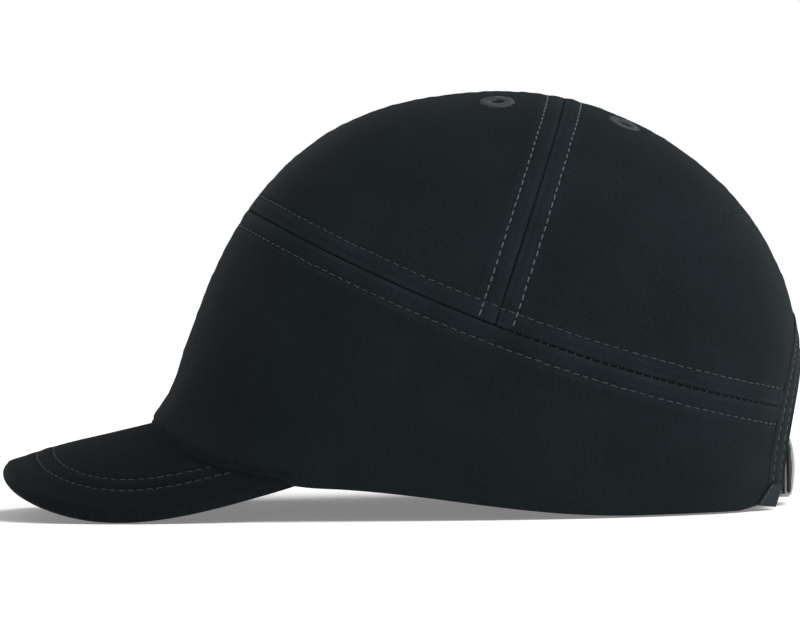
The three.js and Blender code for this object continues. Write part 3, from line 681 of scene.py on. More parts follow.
def brushed_cloth(name, dark, light):
    """Napped cotton of the sweatband: a fine knit under a soft pile."""
    look = Look(name)
    wale = look.ridges(look.u, 0.9)
    course = look.ridges(look.math("ADD", look.v, look.math("MULTIPLY", wale, 0.5)), 0.7)
    weave = look.total((0.9, wale), (0.7, course), (0.5, look.noise(look.vector, 1.6, 4, 0.7)))
    return look.done(look.greys(weave, 0.3, 1.2, dark, light), 0.92, look.bump(weave, 0.16, 0.7),
                     Specular_IOR_Level=0.2, Sheen_Weight=0.5, Sheen_Roughness=0.5)


def foam(name, value):
    """Closed-cell foam: small cells with a faintly shiny skin."""
    look = Look(name)
    cells, tiny = (look.add("TexVoronoi", {"Vector": look.place, "Scale": scale}).outputs["Distance"]
                   for scale in (1.1, 2.9))
    shade = look.total((0.5, cells), (0.3, tiny), (0.7, look.noise(look.place, 0.08, 3)))
    return look.done(look.greys(shade, 0.3, 1.0, value * 0.6, value * 1.35),
                     look.span(tiny, 0.0, 0.6, 0.6, 0.95),
                     look.bump(look.total((0.7, cells), (0.4, tiny)), 0.3, 0.6))


def moulded_plastic(name, value, rough=0.42):
    """Moulded ABS with a fine spark-eroded grain, scuffed here and there."""
    look = Look(name)
    grain = look.noise(look.place, 1.4, 4, 0.7)
    flow = look.noise(look.place, 0.05, 3)
    scuff = look.span(look.streaks(look.place, (0.2, 1.4, 0.2), 0.9, 4, 0.75), 0.6, 0.72)
    colour = look.greys(flow, 0.3, 0.7, value * 0.8, value * 1.2)
    colour = look.mix(look.math("MULTIPLY", scuff, 0.3), colour, grey(value * 3))
    roughness = look.total((0.3, grain), (0.25, scuff), (rough, look.span(flow, 0, 1, 0.7, 1.0)))
    return look.done(colour, roughness, look.bump(grain, 0.05, 0.35))


def satin_metal(name, value, rough):
    """Nickel-plated steel with a satin brush along its height and faint handling marks."""
    look = Look(name)
    brush = look.streaks(look.place, (5.0, 5.0, 0.12), 1.6, 4, 0.7)
    smudge = look.noise(look.place, 0.25, 3, 0.6)
    clean, marked = (tuple(value * part for part in parts) + (1,)
                     for parts in ((1, 1.01, 1.02), (0.8, 0.81, 0.82)))
    roughness = look.total((0.16, brush), (0.14, smudge), (1.0, rough - 0.12))
    return look.done(look.mix(look.span(smudge, 0.3, 0.75), clean, marked), roughness,
                     look.bump(brush, 0.012, 0.4), Metallic=1.0, Anisotropic=0.4)


def woven_label(name, dark, light):
    """Damask label: tight satin ground with a plain border, and nothing written on it."""
    look = Look(name)
    weave = look.total((1.0, look.ridges(look.v, 0.34)), (0.6, look.ridges(look.u, 0.5)),
                       (0.4, look.noise(look.vector, 2.5)))
    return look.done(look.greys(weave, 0.2, 1.0, dark, light), 0.75, look.bump(weave, 0.06, 0.6),
                     Specular_IOR_Level=0.12, Sheen_Weight=0.04, Sheen_Roughness=0.4)


TWILL = twill("black_twill", 0.0060, 0.0148, 0.030)
# A darker copy of the black twill for both peak covers: painted shade on the peak, which lies low at the
# front, away from the light.
PEAK_TWILL_PAINTED_SHADE = twill("peak_twill_painted_shade", 0.0026, 0.0068, 0.016, lean=0.05)
BINDING_TWILL = twill("binding_twill", 0.0066, 0.0150, 0.030, lean=0.9)
SEAM_THREAD = thread("seam_thread", 0.034)
CROWN_THREAD = thread("crown_seam_thread", 0.085)
# A darker copy of the seam thread for the peak's rows: painted shade on the peak, like its twill.
PEAK_THREAD_PAINTED_SHADE = thread("peak_thread_painted_shade", 0.018)
EYELET_THREAD = thread("eyelet_thread", 0.024)
TAPE_CLOTH = webbing("hem_tape_cloth", 0.006, 0.015, 0.9)
STRAP_WEBBING = webbing("strap_webbing", 0.004, 0.012)
SWEATBAND_CLOTH = brushed_cloth("sweatband_cloth", 0.007, 0.022)
FOAM = foam("black_foam", 0.02)
SHELL_PLASTIC = moulded_plastic("shell_abs", 0.016)
BOARD_PLASTIC = moulded_plastic("board_plastic", 0.05, 0.5)
SATIN_METAL = satin_metal("satin_nickel", 0.42, 0.4)
PIN_STEEL = satin_metal("pin_steel", 0.32, 0.26)
LABEL_CLOTH = woven_label("label_cloth", 0.009, 0.026)


# ------------------------------------------------------------------ making pieces
def make(name, points, faces, material, slot, uv=None, worn=0, body="cap", replaces=(), mirror=False):
    """One mesh piece from points in millimetres, riding on its CAD body."""
    points = np.asarray(points, float).reshape(-1, 3)
    faces = [list(f) for f in faces]
    if mirror:
        points = points * (-1, 1, 1)
        faces = [f[::-1] for f in faces]
    mesh = bpy.data.meshes.new(name)
    mesh.from_pydata(to_row(points).tolist(), [], faces)
    mesh.validate()
    mesh.materials.append(material)
    corners = np.zeros(len(mesh.loops), int)
    mesh.loops.foreach_get("vertex_index", corners)
    flat = points[:, :2] if uv is None else np.asarray(uv, float).reshape(-1, 2)
    layer = mesh.uv_layers.new(name="cloth")
    layer.data.foreach_set("uv", flat[corners].ravel().astype(np.float32))
    amount = np.zeros(len(points)) + np.ravel(worn)
    mesh.attributes.new("wear", "FLOAT", "POINT").data.foreach_set("value", amount.astype(np.float32))
    mesh.polygons.foreach_set("use_smooth", [True] * len(mesh.polygons))
    obj = show(name, mesh)
    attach(obj, body)
    if replaces:
        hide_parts(*replaces)
    return obj


def show(name, data):
    obj = bpy.data.objects.new(name, data)
    bpy.context.scene.collection.objects.link(obj)
    return obj


def edit(mesh, operation, *kinds, **settings):
    """Runs a bmesh operation on a mesh's faces or vertices."""
    work = bmesh.new()
    work.from_mesh(mesh)
    operation(work, **{kind: getattr(work, kind) for kind in kinds}, **settings)
    work.to_mesh(mesh)
    work.free()


def face_out(mesh):
    edit(mesh, bmesh.ops.recalc_face_normals, "faces")


def weld(obj, distance=1e-7):
    """Joins vertices that lie on each other, so that the piece closes."""
    edit(obj.data, bmesh.ops.remove_doubles, "verts", dist=distance)


def settle(obj):
    """Applies a piece's modifiers."""
    bpy.context.view_layer.update()
    done = bpy.data.meshes.new_from_object(obj.evaluated_get(bpy.context.evaluated_depsgraph_get()))
    obj.modifiers.clear()
    obj.data = done


def outward(faces, points, inside=CENTRE):
    """Turns all faces over if they look towards what is inside them."""
    points = np.asarray(points).reshape(-1, 3)
    a, b, c = (points[faces[:, k]] for k in (0, 1, 2))
    out = (np.cross(b - a, c - a) * (a - inside)).sum()
    return faces if out > 0 else faces[:, ::-1]


def sheet_piece(name, grid, *rest, wrap_columns=False, **more):
    """A piece from one grid of points."""
    faces = outward(grid_faces(*grid.shape[:2], wrap_columns=wrap_columns), grid)
    return make(name, grid, faces, *rest, **more)


def swept_piece(name, grid, *rest, **more):
    """A piece from a closed section, down the grid's rows, that is swept along its columns."""
    rows, columns = grid.shape[:2]
    middle = np.tile(grid.mean(0), (rows, 1))
    faces = grid_faces(rows, columns, wrap_rows=True)
    faces = outward(faces, grid, middle[faces[:, 0]])
    first = np.arange(rows) * columns
    return make(name, grid, [*faces, first, first[::-1] + columns - 1], *rest, **more)


def leaf_piece(name, top, low, material, slot, uv=None, **more):
    """A closed piece from two leaves that meet along their edges."""
    faces = outward(grid_faces(*top.shape[:2]), top)
    both = np.concatenate([faces, faces[:, ::-1] + top[..., 0].size])
    uv = None if uv is None else np.stack([uv, uv])
    obj = make(name, np.stack([top, low]), both, material, slot, uv, **more)
    weld(obj)
    return obj


def prism_faces(count, start=0):
    """Faces of a prism whose bottom corners are followed by its top ones."""
    low, high = np.arange(count) + start, np.arange(count) + start + count
    return [low[::-1], high, *np.stack([low, np.roll(low, -1), np.roll(high, -1), high], -1)]


def square_grid(columns, rows, power):
    """Coordinates from -1 to 1 over a square, and the same drawn in to round corners."""
    a, b = np.meshgrid(np.linspace(-1, 1, columns), np.linspace(-1, 1, rows))
    most = np.maximum(np.abs(a), np.abs(b))
    reach = (np.abs(a) ** power + np.abs(b) ** power) ** (1 / power)
    shrink = np.where(most > 0, most / np.maximum(reach, 1e-9), 1)
    return a, b, a * shrink, b * shrink


def grid_uv(grid):
    """Flat lengths of a long patch: along its middle row, and up each column."""
    return coords(lengths(grid[len(grid) // 2]), lengths(grid))


def dome_uv(grid, facing):
    """Flat coordinates of a domed patch, true along every line from its middle."""
    facing = unit(np.array(facing, float))
    across = unit(np.cross([0, 0, 1.0], facing))
    away = grid - (0, WIDEST_Y, 50.0)
    reach = norm(away)
    d = away / reach[..., None]
    turn = np.arccos(np.clip(d @ facing, -1, 1))
    return unit(coords(d @ across, d @ np.cross(facing, across))) * (turn * reach.mean())[..., None]


def declare_cut(obj, least=0.0):
    """Works out a sheet of cloth's flat area and extent from its own flat coordinates, and does nothing with
    them.
    """
    mesh = obj.data
    flat = np.zeros(2 * len(mesh.loops), np.float32)
    mesh.uv_layers["cloth"].data.foreach_get("uv", flat)
    flat = flat.reshape(-1, 2).astype(float) * MM
    area = 0.0
    for face in mesh.polygons:
        x, y = flat[face.loop_start:face.loop_start + face.loop_total].T
        area += abs((x * np.roll(y, -1) - y * np.roll(x, -1)).sum()) / 2
    size = np.maximum(np.ptp(flat, axis=0), least)
    area = min(area, size[0] * size[1])


def stitch(name, paths, thread=SEAM_THREAD, slot="twill", mirror=False, seed=1, radius=THREAD_RADIUS,
           pitch=STITCH_PITCH, length=STITCH_LENGTH):
    """Stitches along paths of (points, normals): short threads that dive into the cloth."""
    rng = np.random.default_rng(seed)
    stations, sides = 7, 6
    k = np.linspace(0, 1, stations)
    around = np.linspace(0, 2 * PI, sides, endpoint=False)
    points, uvs = [], []
    for path, normals in paths:
        s = lengths(path)
        count = max(int((s[-1] - 0.6) / pitch), 1)
        starts = ((np.arange(count) + 0.5) * (s[-1] / count) - length / 2)[:, None]
        at = starts + k * length * rng.uniform(0.93, 1.06, (count, 1))
        centre, n = read_at(at, s, path), unit(read_at(at, s, normals))
        across = unit(np.cross(n, unit(np.gradient(centre, axis=1))))
        skew = rng.normal(0, 0.06, (count, 1)) + rng.normal(0, 0.05, (count, 1)) * (2 * k - 1)
        rise = radius * (0.9 * (1 - (2 * k - 1) ** 4) - 0.72) * rng.uniform(0.85, 1.1, (count, 1))
        centre = centre + across * skew[..., None] + n * rise[..., None]
        thick = radius * (0.66 + 0.34 * np.sin(PI * k) ** 0.6)
        ring = np.cos(around)[:, None] * across[:, :, None] + np.sin(around)[:, None] * n[:, :, None]
        points.append(centre[:, :, None] + ring * thick[None, :, None, None])
        uvs.append(coords((at - starts)[:, :, None], around / (2 * PI)))
    first, last = np.arange(sides), np.arange(sides) + (stations - 1) * sides
    one = [*grid_faces(stations, sides, wrap_columns=True), first[::-1], last]
    points = np.concatenate(points)
    faces = [f + j * stations * sides for j in range(len(points)) for f in one]
    return make(name, points, faces, thread, slot, np.concatenate(uvs), mirror=mirror)


# ------------------------------------------------------------------ panels and their stitching
def eyelet_centres():
    return np.array([crown(a, t) for a, t in EYELETS])


def widen(grid):
    """Repeats a grid's rows and columns along its four edges."""
    return np.pad(grid, ((1, 1), (1, 1), (0, 0)), mode="edge")


def part_seams(grid):
    """Draws a patch's edges in by half a seam's gap, wider behind the crown seam."""
    grid = grid.copy()
    away, _ = BAND_LINE.near(grid)
    opened = drawn_open(grid) * (away < 0.05)
    closed = smoothstep(0.5, 14, grid[..., 0])  # at the centre seam
    rows, columns = (np.s_[0], np.s_[1]), (np.s_[:, 0], np.s_[:, 1])
    last_rows, last_columns = (np.s_[-1], np.s_[-2]), (np.s_[:, -1], np.s_[:, -2])
    for edge, next_row in (rows, last_rows, columns, last_columns):
        gap = (SEAM_GAP + (OPEN_GAP - SEAM_GAP) * opened[edge]) * closed[edge]
        grid[edge] += unit(grid[next_row] - grid[edge]) * gap[..., None] / 2
    return grid


def rolled_hem(base, face, n):
    """Rows of the hem's turned-up allowance and its rolled edge, from the inside outwards."""
    down = unit(base[0] - base[3])
    rows = [base[row] - n[row] * (2 * HEM_FOLD + 0.1) for row in (16, 11, 7)]
    for turn in np.radians(range(180, 15, -30)):
        rows.append(face[0] + n[0] * HEM_FOLD * (math.cos(turn) - 1) + down * HEM_FOLD * math.sin(turn))
    return np.pad(rows, ((0, 0), (1, 1), (0, 0)), mode="edge")


def sewn_panel(name, base, uv, seed, mirror, side, hem=False):
    """A panel of the crown: relief on its patch, edges turned under, and a rolled hem."""
    n = grid_normals(base)
    face = part_seams(base) + n * relief(base, seed)[..., None]
    turned = np.ones(np.add(base.shape[:2], 2))
    turned[1:-1, 1:-1] = 0
    points = widen(face) - widen(n) * (turned * SEAM_TURN)[..., None]
    uv, worn = widen(uv), widen(wear(base)[..., None])[..., 0]
    if hem:
        rows = rolled_hem(base, face, n)
        points = np.concatenate([rows, points[1:]])
        below = -np.arange(len(rows) - 1, 0, -1)[:, None] * 0.8
        uv = np.concatenate([coords(uv[0, :, 0], below), uv])
        worn = np.concatenate([np.full((len(below), worn.shape[1]), 0.3), worn])
    faces = outward(grid_faces(*points.shape[:2]), points)
    # The faces inside the eyelets' holes go, and so do the vertices that they leave loose.
    points = points.reshape(-1, 3)
    middles = points[faces].mean(1)
    away = norm(middles[:, None] - eyelet_centres()).min(1)
    faces = faces[away > EYELET_HOLE + 1.0]
    used, places = np.unique(faces, return_inverse=True)
    return make(f"{name}_{side}_cloth", points[used], places.reshape(faces.shape), TWILL, "twill",
                uv.reshape(-1, 2)[used], worn.ravel()[used], mirror=mirror, replaces=[f"{name}_{side}"])


def side_patch():
    rows = spacing(72)
    ends = panel_end(rows)
    middle = np.linspace(0, 1, 200)
    angle = PI + (ends[len(rows) // 2] - PI) * middle
    s = lengths(crown(angle, (hem_at(angle) + band_at(angle)) / 2))
    columns = np.interp(spacing(s[-1]) * s[-1], s, middle)
    angles = PI + (ends[:, None] - PI) * columns
    low, high = hem_at(angles), band_at(angles)
    return crown(angles, low + (high - low) * rows[:, None])


def top_patches(split=0.42):
    """The front and rear top panels' patches on the left; the front one's top edge starts at split."""
    base = SEAM_CURVE[0]
    at = int(norm(BAND_CURVE - base).argmin())
    start = int(norm(FRONT_CENTRE - BAND_CURVE[0]).argmin())
    ridge = np.concatenate([BAND_CURVE[:1], FRONT_CENTRE[start + 1:]])
    cut = int(split * len(ridge))
    lower_front = np.concatenate([BAND_CURVE[:at], base[None]])
    lower_rear = np.concatenate([base[None], BAND_CURVE[at + 1:]])
    front = coons(lower_front, ridge[cut:], ridge[:cut + 1], SEAM_CURVE)
    rear = coons(lower_rear, REAR_CENTRE, SEAM_CURVE, ARCH_CURVE)
    return onto_crown(front)[0], onto_crown(rear)[0]


def offset_path(line, distance, start=0.0, end=math.inf):
    """A path on the crown beside a seam, with the crown's normals."""
    keep = (line.s >= start) & (line.s <= end)
    points, tangents = line.points[keep], line.tangents[keep]
    _, normals = onto_crown(points)
    return onto_crown(points + unit(np.cross(normals, tangents)) * distance)


def on_cloth(path, normals, seed):
    """Lifts a path on the crown's plain face to just above the finished cloth."""
    return path + normals * (relief(path, seed) + STITCH_LIFT)[..., None], normals


def build_panels():
    side = side_patch()
    front, rear = top_patches()
    cloths = []
    for mirror, side_name in SIDES:
        seed = RIGHT_SEED * mirror
        more = (seed, mirror, side_name)
        cloths.append(sewn_panel("side_panel", side, grid_uv(side), *more, hem=True))
        cloths.append(sewn_panel("front_top_panel", front, dome_uv(front, (0.62, -0.55, 0.62)), *more))
        cloths.append(sewn_panel("rear_top_panel", rear, dome_uv(rear, (0.62, 0.5, 0.6)), *more))
    for cloth in cloths:
        declare_cut(cloth)


def build_panel_stitches():
    split = BAND_LINE.s[norm(BAND_LINE.points - SEAM_CURVE[0]).argmin()]
    kinds = (
        ("band", BAND_LINE, (BAND_ROW, -BAND_ROW), (6.4,), SEAM_THREAD, 3, BAND_STITCH),
        ("crown", SEAM_LINE, (CROWN_ROW, -CROWN_ROW), (0.8, SEAM_LINE.s[-1] - 4.2), CROWN_THREAD, 4,
         CROWN_STITCH),
        ("centre", CENTRE_LINE, (-CROWN_ROW,), (3.0,), SEAM_THREAD, 5, CENTRE_STITCH),
    )
    for mirror, side in SIDES:
        seed = RIGHT_SEED * mirror
        for kind, line, distances, ends, material, extra, sizes in kinds:
            rows = [on_cloth(*offset_path(line, d, *ends), seed) for d in distances]
            rows = [(p[p[:, 0] > 0.5], n[p[:, 0] > 0.5]) for p, n in rows]
            stitch(f"{kind}_seam_stitches_{side}", rows, material, mirror=mirror, seed=seed + extra, **sizes)
        # Behind the crown seam the band seam is drawn open, and its own thread shows as short bars.
        path, normals = offset_path(BAND_LINE, 0.0, split + 2)
        s = lengths(path)
        bars = []
        for i in np.searchsorted(s, np.arange(1.5, s[-1] - 1, BAR_PITCH)):
            forward = path[i + 1] - path[i - 1]
            slant = unit(np.cross(normals[i], forward)) + BAR_LEAN * unit(forward)
            bar = path[i] + slant * np.linspace(-BAR_HALF, BAR_HALF, 5)[:, None]
            bars.append((bar - normals[i] * (CLOTH_DROP + BAR_DEPTH), np.tile(normals[i], (5, 1))))
        stitch(f"band_seam_bars_{side}", bars, mirror=mirror, seed=seed + 6, **BAR_STITCH)


def build_seam_tapes():
    """Tapes behind the seams, in the gap between the cloth and the shell."""
    lines = (BAND_LINE, SEAM_LINE, CENTRE_LINE)
    starts = (0, SEAM_TAPE_HALF + 0.2, 0)
    for kind, line, start, depth in zip(("band", "crown", "centre"), lines, starts, SEAM_TAPE_DEPTHS):
        paths = [offset_path(line, d, start) for d in np.linspace(-SEAM_TAPE_HALF, SEAM_TAPE_HALF, 9)]
        grid = np.array([p - n * depth for p, n in paths])[:, ::3]
        for mirror, side in SIDES[:1] if kind == "centre" else SIDES:
            name = "centre_seam_tape_cloth" if kind == "centre" else f"{kind}_seam_tape_{side}_cloth"
            tape = sheet_piece(name, grid, TAPE_CLOTH, "tape", grid_uv(grid), mirror=mirror)
            declare_cut(tape)


# ------------------------------------------------------------------ peak
def peak_angles():
    """Outline angles at even lengths, as far as the outline stays outside the crown."""
    angles = np.linspace(0, PEAK_END_ANGLE, 300)
    x, y = peak_outline(angles, 0)
    end = 1 + (int(np.argmax(outside_crown(peak_face(x, y, 0)) < -1.0)) or len(angles) - 1)
    s = lengths(coords(x, y, 0)[:end])
    right = np.interp(np.linspace(0, s[-1], int(s[-1] / 1.2)), s, angles[:end])
    return np.concatenate([-right[:0:-1], right])


PEAK_ANGLES = peak_angles()


def peak_plan(inset, depth, rows, gap=0.0, share=0.0, most=0.985):
    """Plan positions of a sheet of the peak, in rows from the crown to the inset outline."""
    x, y = peak_outline(PEAK_ANGLES, inset)

    def place(r):
        return x * r, PEAK_HUB_Y + (y - PEAK_HUB_Y) * r
    inner = solve(lambda r: outside_crown(peak_face(*place(r), depth)), 0.2, 1, len(x), 18)
    inner = np.minimum(inner + share + gap / np.hypot(x, y - PEAK_HUB_Y), most)
    return place(inner + (1 - inner) * np.linspace(0, 1, rows)[:, None])


def build_board():
    """The stiff plate between the peak's covers."""
    x, y = peak_plan(BOARD_INSET, BOARD_BOTTOM, 16, share=0.006, most=0.98)
    top, bottom = (peak_face(x, y, depth) for depth in (BOARD_TOP, BOARD_BOTTOM))
    board = swept_piece("peak_board_plate", np.concatenate([top, bottom[::-1]]), BOARD_PLASTIC,
                        "board_plastic", replaces=["peak_board"])
    board.data.polygons.foreach_set("use_smooth", [False] * len(board.data.polygons))
    face_out(board.data)


def peak_sheet(lower):
    """Grid of one cover, from under the crown to its rolled rim, and the rim's count of rows."""
    deep = PEAK_THICKNESS if lower else 0.0
    xs, ys = peak_plan(COVER_RIM, deep, 78, gap=0.2 if lower else -1.6)
    if lower:
        rim = [(1.5, 4.1), (1.0, 3.85), (0.75, 3.55), (0.95, 3.3), (1.6, 3.1)]
    else:
        turns = np.radians(np.linspace(15, 90, 6))
        rim = [(COVER_RIM * (1 - math.sin(a)), COVER_RIM * (1 - math.cos(a))) for a in turns]
        rim += [(0.12, 2.75), (0.4, 3.25), (0.85, 3.45), (1.5, 3.3)]
    outlines = [peak_outline(PEAK_ANGLES, inset) for inset, _ in rim]
    depths = np.concatenate([np.full(len(xs), deep), [depth for _, depth in rim]])[:, None]
    xs, ys = (np.vstack([plan, [o[k] for o in outlines]]) for k, plan in ((0, xs), (1, ys)))
    return peak_face(xs, ys, depths * np.ones_like(xs)), len(rim)


def peak_relief(points, edge_line, seed):
    edge, s = edge_line.near(points)
    height = 0.3 * bell(edge, 4.0, 2.6) * (1 + 0.3 * ripple(s, seed, 10, 30))
    for row in PEAK_ROWS:
        height = height - bell(edge, row, 0.7) * stitch_dents(s, 0.27, 0.05)
    height = height + 0.16 * bell(edge, sum(PEAK_ROWS) / 2, 1.7) + 0.12 * bell(edge, PEAK_ROWS[0] - 3, 1.8)
    height = height + 0.15 * waves(points, seed + 1, 26, 60) + 0.03 * waves(points, seed + 2, 8, 16)
    return height * smoothstep(0.6, 3.5, edge)


def build_peak():
    edge_line = Line(peak_face(*peak_outline(PEAK_ANGLES, 0), PEAK_THICKNESS / 2))
    for lower, name in ((False, "peak_upper_cover"), (True, "peak_lower_cover")):
        base, rim_rows = peak_sheet(lower)
        n = unit(np.cross(np.gradient(base, axis=1), np.gradient(base, axis=0)))
        n = n * np.sign(n[10, :, 2].mean()) * (-1 if lower else 1)
        height = peak_relief(base, edge_line, 70 if lower else 60)
        height[-rim_rows:] = 0
        points = base + n * height[..., None]
        edge, _ = edge_line.near(base)
        worn = np.clip(bell(edge, 1.0, 2.0) * 0.8, 0, 1)
        faces = outward(grid_faces(*points.shape[:2]), points, (0, PEAK_HUB_Y, 1e4 if lower else -1e4))
        # Both covers take the darker copy of the twill that paints shade on the peak.
        cover = make(f"{name}_cloth", points, faces, PEAK_TWILL_PAINTED_SHADE, "twill", base[..., :2], worn,
                     replaces=[name])
        rows = []
        for row in PEAK_ROWS:
            j = np.flatnonzero(edge[0] >= row)
            i = np.argmax(edge[:-rim_rows, j] < row, axis=0)
            f = (edge[i - 1, j] - row) / (edge[i - 1, j] - edge[i, j])
            rows.append((points[i - 1, j] + (points[i, j] - points[i - 1, j]) * f[:, None], n[i, j]))
        stitches = stitch(name.replace("cover", "stitches"), rows, PEAK_THREAD_PAINTED_SHADE, seed=8 + lower, radius=0.22)
        declare_cut(cover)


# ------------------------------------------------------------------ rear arch tape
def arch_ring(profile, count=190):
    """A loop of (radius, height above the crown) pairs swept round the arch, as a grid."""
    radii, heights = np.array(profile, float).T[..., None]
    foot = np.arcsin((ARCH_FOOT_Z - ARCH_CENTRE_Z) / radii)
    turns = foot + (PI - 2 * foot) * np.linspace(0, 1, count)
    points, normals = rear_face(radii * np.cos(turns), ARCH_CENTRE_Z + radii * np.sin(turns))
    return points, normals, heights * np.ones_like(turns)


def build_binding():
    """A folded twill tape over the arch's edge: outer leg, rolled edge and inner leg."""
    inner, outer, roll = ARCH_RADIUS, ARCH_RADIUS + BINDING_WIDTH + 0.4, BINDING_ROLL
    flat = np.concatenate([np.arange(inner + roll, outer - 0.5, 0.75), [outer - 0.5]])
    profile = [(outer + r, h) for r, h in BINDING_SELVEDGE]
    profile += [(r, 0.15) for r in flat[::-1]]
    for turn in np.radians(range(75, -91, -15)):
        profile.append((inner + roll - roll * math.cos(turn), roll * math.sin(turn) - BINDING_DEPTH))
    profile += [(r, -roll - BINDING_DEPTH) for r in flat[1:12]]
    points, normals, heights = arch_ring(profile)
    s = lengths(points[len(points) // 2])
    radii, rise = np.array(profile).T[..., None]
    from_edge = radii - inner
    dents = sum(bell(from_edge, row, 0.7) * stitch_dents(s, 0.26, 0.06) for row in BINDING_ROWS)
    swell = 0.14 * bell(from_edge, 7, 1.8) + 0.1 * ripple(s, 77, 6, 14) * bell(from_edge, 7, 4)
    heights = heights + np.where(rise > 0.1, swell - dents, 0)
    cloth = points + normals * heights[..., None]
    uv = coords(s, lengths(np.array(profile))[:, None])
    worn = bell(from_edge, 0.6, 1.2) * 0.8 + bell(from_edge, outer - inner, 0.5) * 0.5 + 0 * s
    tape = sheet_piece("rear_arch_binding_cloth", cloth, BINDING_TWILL, "twill", uv, worn,
                       replaces=["rear_arch_binding"])
    rows = []
    for row in BINDING_ROWS:
        p, n, h = (a[0] for a in arch_ring([(inner + row, -0.07)]))
        rows.append((p + n * h[:, None], n))
    stitches = stitch("arch_binding_stitches", rows, seed=12, radius=0.23)
    declare_cut(tape)


# ------------------------------------------------------------------ eyelets and label
def build_eyelets():
    """Eyelets worked over with radial thread: a ring of ridges that dips into a real hole."""
    radii, heights = np.array(EYELET_PROFILE).T[..., None]
    turns = np.linspace(0, 2 * PI, EYELET_THREADS * 7, endpoint=False)
    thread_no = np.floor(turns / (2 * PI) * EYELET_THREADS).astype(int)
    ridge = np.abs(np.sin(turns * EYELET_THREADS / 2)) ** 0.7 - 0.6
    slip = turns + 0.1 * (radii - 4) / 4
    for place, centre, seed in zip(("front", "rear"), eyelet_centres(), (31, 33)):
        for mirror, side in SIDES:
            rng = np.random.default_rng(seed + mirror)
            ends, rises = rng.normal(0, 0.13, EYELET_THREADS), rng.normal(0, 0.035, EYELET_THREADS)
            normal = onto_crown(centre[None])[1][0]
            e1 = unit(np.cross(normal, [0.2, 1, 0]))
            e2 = np.cross(normal, e1)
            r = (radii + smoothstep(4.6, 5.8, radii) * ends[thread_no])[..., None]
            h = heights + smoothstep(2.1, 2.6, radii) * (0.16 * ridge + rises[thread_no]) - CLOTH_DROP
            base, n = onto_crown(centre + r * (np.cos(slip)[..., None] * e1 + np.sin(slip)[..., None] * e2))
            name = f"{place}_eyelet_{side}"
            sheet_piece(f"{name}_thread", base + n * h[..., None], EYELET_THREAD, "eyelet_thread",
                        coords(radii, turns * 4), mirror=mirror, replaces=[name], wrap_columns=True)


def build_label():
    """A blank woven tab caught in the corner of the side panel, its free end curling a little."""
    u, v = np.linspace(0, 1, 40), np.linspace(0, 1, 60)[:, None]
    bottom = LABEL_LOW + (LABEL_OUT - LABEL_LOW) * u[:, None]
    top = LABEL_ROOT + (LABEL_TIP - LABEL_ROOT) * u[:, None]
    side = bottom + (top - bottom) * v[..., None]
    base, n = cast_along((1, 0, 0), 0, side[..., 0], side[..., 1])
    lift = 0.6 + 0.6 * u**2 + 0.12 * np.sin(v * 5.0 + 0.6) * u
    edge = np.minimum(np.minimum(u, 1 - u) * 8, np.minimum(v, 1 - v) * 11)
    thick = 0.26 * rounding(edge, 0.28) + 0.07 * bell(edge, 1.0, 0.25)
    faces = (base + n * (lift + way * thick)[..., None] for way in (1, -1))
    label = leaf_piece("side_label_cloth", *faces, LABEL_CLOTH, "label_cloth", side, replaces=["side_label"])
    path = (base + n * (lift + 0.3)[..., None])[4:-4, 3]
    stitches = stitch("label_stitches", [(path, n[4:-4, 3])], slot="label_cloth", seed=51, radius=0.16,
                      pitch=2.2, length=1.6)
    declare_cut(label, least=0.0105)


# ------------------------------------------------------------------ bands, shell and pads
def round_section(low, high, thickness, step=0.8):
    """A closed cross-section as (height, depth) pairs: outer face up, rolled top, inner face down."""
    r = thickness / 2
    flat = np.arange(low + r, high - r, step)
    turns = np.radians(range(15, 180, 30))
    top = [(high - r + r * math.sin(a), r - r * math.cos(a)) for a in turns]
    bottom = [(low + r - r * math.sin(a), r + r * math.cos(a)) for a in turns]
    return np.concatenate([coords(flat, 0), top, coords(flat[::-1], thickness), bottom])


def inner_band(name, low, high, depth_at, thickness, arch, material, slot, rows, count, swell, replaces):
    """A band that follows the hem inside the cap, from one side of the arch round to the other."""
    heights, depths = round_section(low, high, thickness).T

    def past_arch(angle):
        t = level(angle, lambda p: hem_height(p[..., 1]) + heights)
        return arch_radius_at(crown(angle, t)) - arch
    ends = solve(past_arch, 0.1, 1.4, len(heights), 24)[:, None]
    heights, depths = heights[:, None], depths[:, None]
    angles = ends + (2 * PI - 2 * ends) * np.linspace(0, 1, count)
    t = level(angles, lambda p: hem_height(p[..., 1]) + heights)
    base = crown(angles, t)
    n = unit(np.cross(np.gradient(base, axis=1), crown(angles, t + 0.01) - base))
    n *= np.sign(((base - CENTRE) * n).sum(-1).mean())
    s = lengths(base[len(base) // 4])
    up, tall = heights - low, high - low
    swollen = swell * np.sin(PI * np.clip(up / tall, 0, 1)) ** 0.5
    swollen = swollen + 0.12 * ripple(s, 91, 14, 40) * bell(up, tall / 2, 9)
    for row in rows:
        swollen = swollen - bell(up, row - low, 0.8) * stitch_dents(s, 0.3, 0.06)
    depth = depth_at(base[..., 1]) + depths + np.where(depths > thickness * 0.6, swollen, 0)
    points = base - n * depth[..., None]
    band = swept_piece(name, points, material, slot, coords(s, heights), replaces=replaces)
    at = [int(np.abs(np.where(depths > thickness * 0.9, heights, -99) - row).argmin()) for row in rows]
    return band, [(points[i, 3:-3], -n[i, 3:-3]) for i in at], s[-1]


